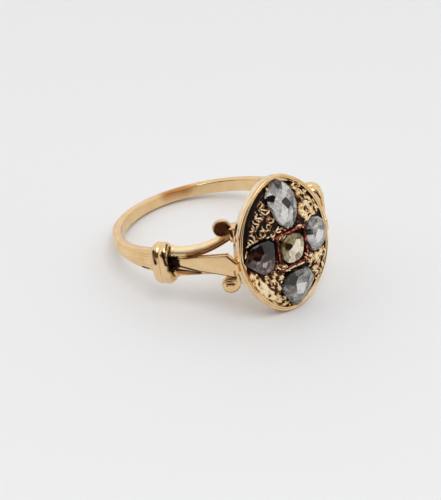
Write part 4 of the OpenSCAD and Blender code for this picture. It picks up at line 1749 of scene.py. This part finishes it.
@dataclass
class ReliefWork:
    """The raised gold scrolls and flakes on the plate.

    Attributes:
        raised: Height of a stroke's middle over the dome, as a share of its half width.
        end_share: Share of its width that a stroke keeps at its ends.
        end_run: Share of its length over which it thins out.
        turns_per_step: Stations between two points.
    """

    dome: Dome
    scroll_r: float = 0.085
    flake_r: float = 0.115
    raised: float = 0.25
    end_share: float = 0.4
    end_run: float = 0.2
    uneven: Pair = (0.88, 1.14)
    round_points: int = 8
    turns_per_step: int = 4
    seed: int = 17

    @staticmethod
    def curve(points: Sequence[Pair], cuts: int) -> list[Vector]:
        """Draws a smooth line through points.

        Args:
            points: Places across and along the head.
            cuts: Steps between two points.

        Returns:
            Points of the smooth line.
        """
        line = [Vector(p) for p in points]
        line = [line[0] * 2 - line[1]] + line + [line[-1] * 2 - line[-2]]
        smooth = []
        for a, b, c, d in zip(line, line[1:], line[2:], line[3:]):
            for t in steps(0, 1, cuts + 1)[:-1]:
                smooth.append(0.5 * (2 * b + (c - a) * t + (2 * a - 5 * b + 4 * c - d) * t * t
                                     + (3 * b - a - 3 * c + d) * t ** 3))
        return smooth + [line[-2]]

    def wire(self, bm: Shape, points: Sequence[Pair], radius: float,
             chance: random.Random, lift: float = 0.0) -> None:
        """Draws a raised stroke that thins out at its ends.

        Args:
            bm: The bmesh to draw in.
            points: Places across and along the head.
            radius: Half of the stroke's width.
            chance: Source of its unevenness.
            lift: Height over the plate.
        """
        line = self.curve(points, self.turns_per_step)
        stations = []
        for index, here in enumerate(line):
            run = line[min(index + 1, len(line) - 1)] - line[max(index - 1, 0)]
            side = Vector((0, -run.y, run.x)).normalized()
            share = index / (len(line) - 1)
            full = min(1.0, min(share, 1 - share) / self.end_run)
            size = radius * (self.end_share + (1 - self.end_share) * full) * chance.uniform(*self.uneven)
            base = Vector((self.dome.height(here.x, here.y) + self.raised * radius + lift, here.x, here.y))
            loop = arc((0, 0), 1, 0, 360 - 360 / self.round_points, self.round_points)
            stations.append([base + side * x * size + Vector((y * size, 0, 0)) for x, y in loop])
        loft(bm, stations)

    def shape(self) -> Shape:
        """Draws every stroke.

        Returns:
            The raised work.
        """
        bm = bmesh.new()
        chance = random.Random(self.seed)
        for lines, radius in ((SCROLLS, self.scroll_r), (FLAKES, self.flake_r)):
            for points in lines:
                self.wire(bm, points, radius, chance)
        return bm


@dataclass
class PlateGround:
    """The worn ground of the plate, raised in patches and sunk round the stones and along the rim.

    Attributes:
        trench_run: Shares of the way out over which the trench falls.
        stained: Wear that is lost to a stain along the rim at the flush corner.
        stained_run: Shares of the way out over which the stain starts.
        seat_reach: Distance from a stone's middle within which its crevice is looked for.
        flush_at: Angle of the corner where the plate is flush with the rim.
        flush_run: Angles from there over which that ends.
        wear: Wear of bare ground, and what a patch, rough noise and grit add to it.
        patch_run: Shares of a patch's radius over which it fades.
        rough_kind: Roughness, step and octaves of the rough noise.
        pit_run: Shares of a pit's radius over which it fades.
    """

    dome: Dome
    oval: OvalOutline
    inset: float = 0.47
    ledge_inset: float = 0.44
    ledge_h: float = 0.1
    foot_share: float = 0.9
    thick: float = 0.5
    trench: float = 0.22
    trench_run: Pair = (0.93, 0.985)
    stained: float = 0.24
    stained_run: Pair = (0.955, 0.98)
    seat: float = 0.16
    seat_run: Pair = (0.08, 0.24)
    seat_reach: float = 2.8
    flush_at: float = -135.0
    flush_run: Pair = (26.0, 44.0)
    flush_trench: float = 0.8
    flush_wear: float = 0.16
    relief: float = 0.15
    wear: tuple[float, float, float, float] = (0.15, 0.6, 0.34, 0.55)
    patch_run: Pair = (0.55, 1.15)
    rough_scale: float = 2.1
    rough_kind: tuple[float, float, int] = (0.9, 2.0, 4)
    grit_scale: float = 6.5
    grit_shift: Triple = (7.0, 3.0, 1.0)
    pit_r: float = 0.16
    pit_run: Pair = (0.5, 1.5)
    rings: int = 96
    ring_power: float = 0.8
    hub: float = 0.004

    def level(self, across: float, along: float) -> float:
        """Gives how far the metal is worn bare at a place.

        Args:
            across: Place across the head.
            along: Place along it.

        Returns:
            0 in black ground, up to 1 on bare raised metal.
        """
        here = Vector((across, along, 0))
        patch = max(1 - ease(math.hypot(across - x, along - y) / r, *self.patch_run)
                    for x, y, r in GOLD_PATCHES)
        rough = noise.fractal(here * self.rough_scale, *self.rough_kind)
        grit = noise.noise(here * self.grit_scale + Vector(self.grit_shift))
        bare, patched, roughed, gritty = self.wear
        level = bare + patched * patch + roughed * rough + gritty * grit
        nearest = min(math.hypot(across - x, along - y) for x, y in PITS)
        return min(1.0, max(0.0, level * ease(nearest / self.pit_r, *self.pit_run)))

    def crevice(self, across: float, along: float) -> float:
        """Gives how near a place is to a stone's edge.

        Args:
            across: Place across the head.
            along: Place along it.

        Returns:
            1 beside and under the stones, 0 away from them.
        """
        deep = 0.0
        for cut in STONES:
            x, y = across - cut.across, along - cut.along
            away = math.hypot(x, y)
            if away < self.seat_reach:
                turn = math.atan2(y, x)
                edge = min(cut.edge, key=lambda p: abs(
                    (math.atan2(p[1], p[0]) - turn + math.pi) % math.tau - math.pi))
                deep = max(deep, 1 - ease(away - math.hypot(*edge), *self.seat_run))
        return deep

    def shape(self) -> Shape:
        """Draws the plate from its underside, over a ledge and its edge, to the middle of its top.

        Returns:
            The plate, with how far it is worn at each point.
        """
        bm = bmesh.new()
        layer = bm.verts.layers.float.new("raised")
        edge = self.oval.offset(-self.inset)
        ledge = self.oval.offset(-self.ledge_inset, 1.0, 1.0)
        low = self.dome.height(*edge[0]) - self.thick
        stations = [[Vector((low - self.ledge_h, y * self.foot_share, z * self.foot_share)) for y, z in edge]]
        stations += [[Vector((reach, y, z)) for y, z in line]
                     for reach, line in ((low - self.ledge_h, ledge), (low, ledge), (low, edge))]
        worn = {}
        for share in (s ** self.ring_power for s in steps(1.0, self.hub, self.rings)):
            ring = []
            for y, z in ((y * share, z * share) for y, z in edge):
                flush = 1 - ease(abs(math.degrees(math.atan2(z, y)) - self.flush_at), *self.flush_run)
                edging = ease(share, *self.trench_run) * (1 - self.flush_trench * flush)
                sink = max(self.trench * edging, self.seat * self.crevice(y, z))
                stained = self.stained * ease(share, *self.stained_run) * flush
                bare = (self.level(y, z) + self.flush_wear * flush - stained) * (1 - sink / self.trench)
                point = Vector((self.dome.height(y, z) - sink + self.relief * (bare - 0.5), y, z))
                worn[point.to_tuple(4)] = bare
                ring.append(point)
            stations.append(ring)
        loft(bm, stations)
        for vert in bm.verts:
            vert[layer] = worn.get(vert.co.to_tuple(4), 0.0)
        return bm


@dataclass
class SquareCollet:
    """The raised square frame round the middle stone, with claws at its corners."""

    dome: Dome
    across: float = 0.1
    along: float = -0.27
    width: float = 3.44
    bar: float = 0.2
    low: float = -0.12
    high: float = 0.2
    inner_slope: float = 0.1
    chamfer: float = 0.07
    cuts: int = 5
    uneven: float = 0.012
    seed: int = 4
    strokes: tuple[tuple[Pair, ...], ...] = (
        ((0.76, 1.47), (1.15, 1.51), (1.54, 1.3), (1.81, 0.87)), ((-1.29, 1.01), (-1.11, 1.28), (-0.7, 1.36)),
        ((-1.09, 0.89), (-0.83, 1.06)), ((-0.94, -2.02), (0.11, -2.02), (1.23, -2.11)),
        ((1.32, -1.24), (1.86, -1.72), (2.34, -1.72)), ((1.42, -2.19), (2.01, -2.29), (2.37, -2.05)),
        ((1.21, -1.59), (1.7, -2.0)), ((-1.91, -1.34), (-1.37, -1.85), (-0.5, -2.25)),
        ((-1.74, -1.19), (-1.23, -1.58), (-0.75, -1.81)))
    stroke_r: float = 0.12
    stroke_lift: float = 0.16
    stroke_seed: int = 9

    def bars(self) -> Shape:
        """Draws the frame's four bars as one ring.

        Returns:
            The frame.
        """
        bm = bmesh.new()
        half, inner = self.width / 2, self.width / 2 - self.bar
        section = (
            (inner, self.low), (inner, self.high - self.inner_slope), (inner + self.chamfer, self.high),
            (half - self.chamfer, self.high), (half, self.high - self.chamfer), (half, self.low))
        place = self.dome.frame(self.across, self.along)
        loft(bm, [[place @ Vector((x * reach, y * reach, rise)) for reach, rise in section]
                  for x, y in ((1, -1), (1, 1), (-1, 1), (-1, -1))], around=True)
        bmesh.ops.subdivide_edges(bm, edges=bm.edges[:], cuts=self.cuts, use_grid_fill=True)
        chance = random.Random(self.seed)
        for vert in bm.verts:
            vert.co += Vector([chance.uniform(-1, 1) for _ in range(3)]) * self.uneven
        return bm

    def claws(self, relief: ReliefWork) -> Shape:
        """Draws the worn claws that hold the frame at its corners.

        Args:
            relief: Draws a raised stroke.

        Returns:
            The claws.
        """
        bm = bmesh.new()
        chance = random.Random(self.stroke_seed)
        for points in self.strokes:
            relief.wire(bm, points, self.stroke_r, chance, self.stroke_lift)
        return bm


@dataclass
class GoldWork:
    """The soldered gold mount: hoop, collars, shoulders and head box."""

    bench: Workbench
    gold: Material
    wall_sheen: Material
    lit_satin: Material
    node: str = "ring_mount"

    def build(self, oval: OvalOutline) -> None:
        """Builds and dresses every gold piece of the mount.

        Args:
            oval: The head's outline.
        """
        bore_r = self.bench.axes.finger_r
        self.add(HoopBand(bore_r).shape(), "hoop_band")
        for side in Side:
            name = side.name.lower()
            self.add(RolledCollar(side, bore_r).shape(), f"collar_{name}")
            self.add(KiteBlade(side).shape(), f"blade_{name}")
            for level in Level:
                tag = f"{level.name.lower()}_{name}"
                # Upper branches wear the paler gold, which paints light on them; lower branches wear the
                # plain gold.
                self.add(ShoulderBranch(side, level, bore_r).shape(), f"branch_{tag}",
                         self.lit_satin if level is Level.UPPER else self.gold)
                self.add(Volute(side, level, bore_r).shape(), f"volute_{tag}")
        self.add(HeadBox(oval).rim(), "head_rim")
        # The wall wears the paler gold, whose colour is a painted reflection of the bright room.
        self.add(HeadBox(oval).wall(), "head_wall", self.wall_sheen)

    def add(self, bm: Shape, name: str, finish: Material | None = None) -> None:
        """Places one gold piece.

        Args:
            bm: Its shape.
            name: Its name.
            finish: Its material, or None for the gold of the hoop.
        """
        self.bench.place(bm, name, finish or self.gold, Slot.GOLD, [self.node])


@dataclass
class JewelledPlate:
    """The plate with its relief, its square setting and its stones."""

    bench: Workbench
    groups: EffectGroups

    def build(self, oval: OvalOutline) -> None:
        """Builds and dresses the plate's pieces.

        Args:
            oval: The head's outline.
        """
        dome = Dome()
        oxide = GroundFinish().build(self.groups)
        # Relief gold in random flecks: the light colour is a painted highlight, and the dark colours are
        # oxide that also stands for painted shade.
        raised = OxideFinish(
            "relief_gold", deep=(0.03, 0.009, 0.004), dark=(0.32, 0.11, 0.025), metal=(0.90, 0.62, 0.28),
            light=(1.0, 0.88, 0.62), fleck_low=0.39, fleck_high=0.46, fleck_scale=2.6, depth=0.12,
        ).build(self.groups)
        red = OxideFinish(
            "red_tarnish", deep=(0.012, 0.002, 0.003), dark=(0.10, 0.008, 0.010), metal=(0.55, 0.09, 0.07),
            light=(0.85, 0.30, 0.20), fleck_low=0.45, fleck_high=0.58, fleck_scale=1.9, depth=0.05,
        ).build(self.groups)
        relief = ReliefWork(dome)
        collet = SquareCollet(dome)
        plate = ["stone_plate"]
        self.bench.place(PlateGround(dome, oval).shape(), "plate_ground", oxide, Slot.OXIDISED, plate)
        self.bench.place(relief.shape(), "plate_relief", raised, Slot.OXIDISED, plate)
        self.bench.place(collet.bars(), "collet_frame", red, Slot.RED, ["centre_collet"], sharp=25)
        self.bench.place(collet.claws(relief), "collet_claws", raised, Slot.OXIDISED, plate)
        finishes = {
            Slot.GREY_STONE: StoneFinish(
                "grey_stone", dark=(0.008, 0.006, 0.004), deep=(0.12, 0.108, 0.095),
                middle=(0.31, 0.295, 0.275), light=(0.88, 0.87, 0.85)),
            Slot.DARK_STONE: StoneFinish(
                "dark_stone", dark=(0.003, 0.001, 0.001), deep=(0.06, 0.014, 0.006),
                middle=(0.14, 0.092, 0.075), light=(0.60, 0.53, 0.50)),
            Slot.OLIVE_STONE: StoneFinish(
                "olive_stone", dark=(0.02, 0.013, 0.004), deep=(0.17, 0.12, 0.03),
                middle=(0.40, 0.31, 0.15), light=(0.97, 0.88, 0.70)),
        }
        dressed = {slot: finish.build(self.groups) for slot, finish in finishes.items()}
        for cut in STONES:
            bm = RoseCutStone(cut, dome).shape()
            self.bench.place(bm, f"{cut.name}_cut", dressed[cut.slot], cut.slot, [cut.name], sharp=1)


@dataclass(frozen=True)
class PhotoCamera:
    """The photograph's view of the ring, in the ring's own axes.

    Attributes:
        azimuth: Angle round the finger's axis, in degrees.
        elevation: Angle over the plane of the hoop, in degrees.
        distance: Distance from the middle of the hoop, in millimetres.
        middle: Where the middle of the hoop is in the picture, in pixels.
        picture: Width and height of the picture, in pixels.
        clip: Nearest and farthest distance that is seen, in metres.
    """

    azimuth: float = 55.0
    elevation: float = 21.57
    distance: float = 180.89
    middle: Pair = (211.77, 220.15)
    roll: float = -10.03
    focal: float = 1934.97
    picture: tuple[int, int] = (441, 500)
    sensor: float = 36.0
    clip: Pair = (0.01, 5.0)

    def build(self, axes: RingAxes) -> None:
        """Makes the camera.

        Args:
            axes: The ring's own axes.
        """
        az, el, roll = (math.radians(a) for a in (self.azimuth, self.elevation, self.roll))
        back = Vector((math.sin(az) * math.cos(el), -math.cos(az) * math.cos(el), math.sin(el)))
        level = Vector((math.cos(az), math.sin(az), 0))
        rise = back.cross(level)
        right = level * math.cos(roll) + rise * math.sin(roll)
        up = rise * math.cos(roll) - level * math.sin(roll)
        aside = self.picture[0] / 2 - self.middle[0]
        under = self.picture[1] / 2 - self.middle[1]
        away = (back * self.focal - right * aside + up * under).normalized()
        up = (up - away * up.dot(away)).normalized()
        turn = axes.to_row.to_3x3().normalized() @ Matrix((up.cross(away), up, away)).transposed()
        data = bpy.data.cameras.new("photo_camera")
        data.sensor_width = self.sensor
        data.lens = self.focal * self.sensor / max(self.picture)
        data.clip_start, data.clip_end = self.clip
        camera = bpy.data.objects.new("photo_camera", data)
        camera.matrix_world = Matrix.Translation(axes.to_row @ (back * self.distance)) @ turn.to_4x4()
        bpy.context.scene.collection.objects.link(camera)
        bpy.context.scene.camera = camera


@dataclass
class Studio:
    """A pale floor under soft light.

    Attributes:
        aim: What the lights point at, in metres.
        tent: Heights and colours of the tent's cloth.
        cloth_scale: Patches of the cloth over the sky.
        cloth_drift: How far a patch shifts the cloth's colours.
        gap: Colour of the dark room that shows past the tent.
        gaps: Openings of the tent: direction, and the cosines between which an opening fades in.
        gap_drift: How far a patch shifts an opening's edge.
        seen: Colour of the sky as the camera sees it.
    """

    floor_size: float = 3.0
    floor_cuts: int = 8
    aim: Triple = (0.0, 0.0, 0.006)
    key_at: Triple = (0.12, -0.05, 0.32)
    key_size: float = 0.22
    key_power: float = 0.33
    fill_at: Triple = (-0.15, -0.28, 0.2)
    fill_size: float = 0.2
    fill_power: float = 0.05
    tent: tuple[tuple[float, Color], ...] = (
        (0.0, (0.78, 0.76, 0.74)), (0.3, (0.98, 0.97, 0.96)), (0.5, (0.62, 0.6, 0.58)),
        (0.62, (0.95, 0.95, 0.95)), (0.9, (0.9, 0.9, 0.9)))
    cloth_scale: float = 2.2
    cloth_drift: float = 0.14
    gap: Color = (0.09, 0.065, 0.055)
    gaps: tuple[tuple[Triple, float, float], ...] = (
        ((0.69, -0.5, 0.52), 0.68, 0.8), ((0.05, -0.99, 0.05), 0.8, 0.92), ((0.97, -0.2, 0.0), 0.86, 0.95))
    gap_drift: float = 0.4
    seen: Color = (0.80, 0.82, 0.83)
    strength: float = 1.05

    def light(self, name: str, place: Triple, size: float, power: float) -> None:
        """Adds a soft square light.

        Args:
            name: Its name.
            place: Where it hangs, in metres.
            size: Length of its side, in metres.
            power: Its power in watts.
        """
        data = bpy.data.lights.new(name, "AREA")
        data.size = size
        data.energy = power
        lamp = bpy.data.objects.new(name, data)
        lamp.location = place
        lamp.rotation_mode = "QUATERNION"
        lamp.rotation_quaternion = (Vector(self.aim) - Vector(place)).to_track_quat("-Z", "Y")
        bpy.context.scene.collection.objects.link(lamp)

    def floor(self) -> None:
        """Adds the floor."""
        bm = bmesh.new()
        cuts = self.floor_cuts
        bmesh.ops.create_grid(bm, x_segments=cuts, y_segments=cuts, size=self.floor_size)
        mesh = bpy.data.meshes.new("floor")
        bm.to_mesh(mesh)
        bm.free()
        mesh.materials.append(PaperFinish().build())
        floor = bpy.data.objects.new("floor", mesh)
        bpy.context.scene.collection.objects.link(floor)

    def sky(self) -> None:
        """Lights the room: a white tent that is open before the ring and round the camera."""
        world = bpy.data.worlds.new("studio")
        world.use_nodes = True
        bpy.context.scene.world = world
        sheet = NodeSheet(world.node_tree)
        way = sheet.add("ShaderNodeTexCoord").outputs["Generated"]
        parts = sheet.join(sheet.add("ShaderNodeSeparateXYZ"), Vector=way).outputs
        cloth = sheet.noise(way, self.cloth_scale, detail=2.0)
        patches = sheet.span(cloth, *NOISE_RANGE, -self.cloth_drift, self.cloth_drift)
        sky = sheet.ramp(sheet.sum("ADD", parts["Z"], patches), self.tent)
        drift = sheet.sum("MULTIPLY", patches, self.gap_drift)
        for direction, start, end in self.gaps:
            toward = sheet.vectors("DOT_PRODUCT", way, direction).outputs["Value"]
            sky = sheet.mix(sheet.span(sheet.sum("ADD", toward, drift), start, end), sky, self.gap)
        straight = sheet.add("ShaderNodeLightPath").outputs["Is Camera Ray"]
        sheet.join(world.node_tree.nodes["Background"], Color=sheet.mix(straight, sky, self.seen),
                   Strength=self.strength)

    def build(self) -> None:
        """Builds the floor, the sky and the lights."""
        self.floor()
        self.sky()
        self.light("key_light", self.key_at, self.key_size, self.key_power)
        self.light("fill_light", self.fill_at, self.fill_size, self.fill_power)
        bpy.context.scene.view_settings.view_transform = "Standard"


def main() -> None:
    """Builds the ring's pieces, the studio and the camera."""
    logging.basicConfig(level=logging.INFO, format="%(name)s: %(message)s")
    axes = RingAxes.from_record(frame["record"])
    groups = EffectGroups(axes)
    bench = Workbench(axes)
    gold = GoldFinish().build(groups)
    # A paler, less yellow copy of the gold for the head's wall: painted reflection of the bright floor and
    # room.
    wall_sheen = GoldFinish(
        "polished_gold", warm=(0.88, 0.72, 0.50), pale=(0.93, 0.81, 0.64), patches=()).build(groups)
    # A rougher, paler copy of the gold for the upper branches: a satin finish, and painted light on these
    # branches that face up.
    lit_satin = GoldFinish(
        "lit_satin_gold", warm=(0.95, 0.70, 0.40), pale=(0.98, 0.79, 0.50), low_roughness=0.28,
        high_roughness=0.42).build(groups)
    oval = OvalOutline()
    GoldWork(bench, gold, wall_sheen, lit_satin).build(oval)
    JewelledPlate(bench, groups).build(oval)
    PhotoCamera().build(axes)
    Studio().build()


if __name__ == "__main__":
    main()
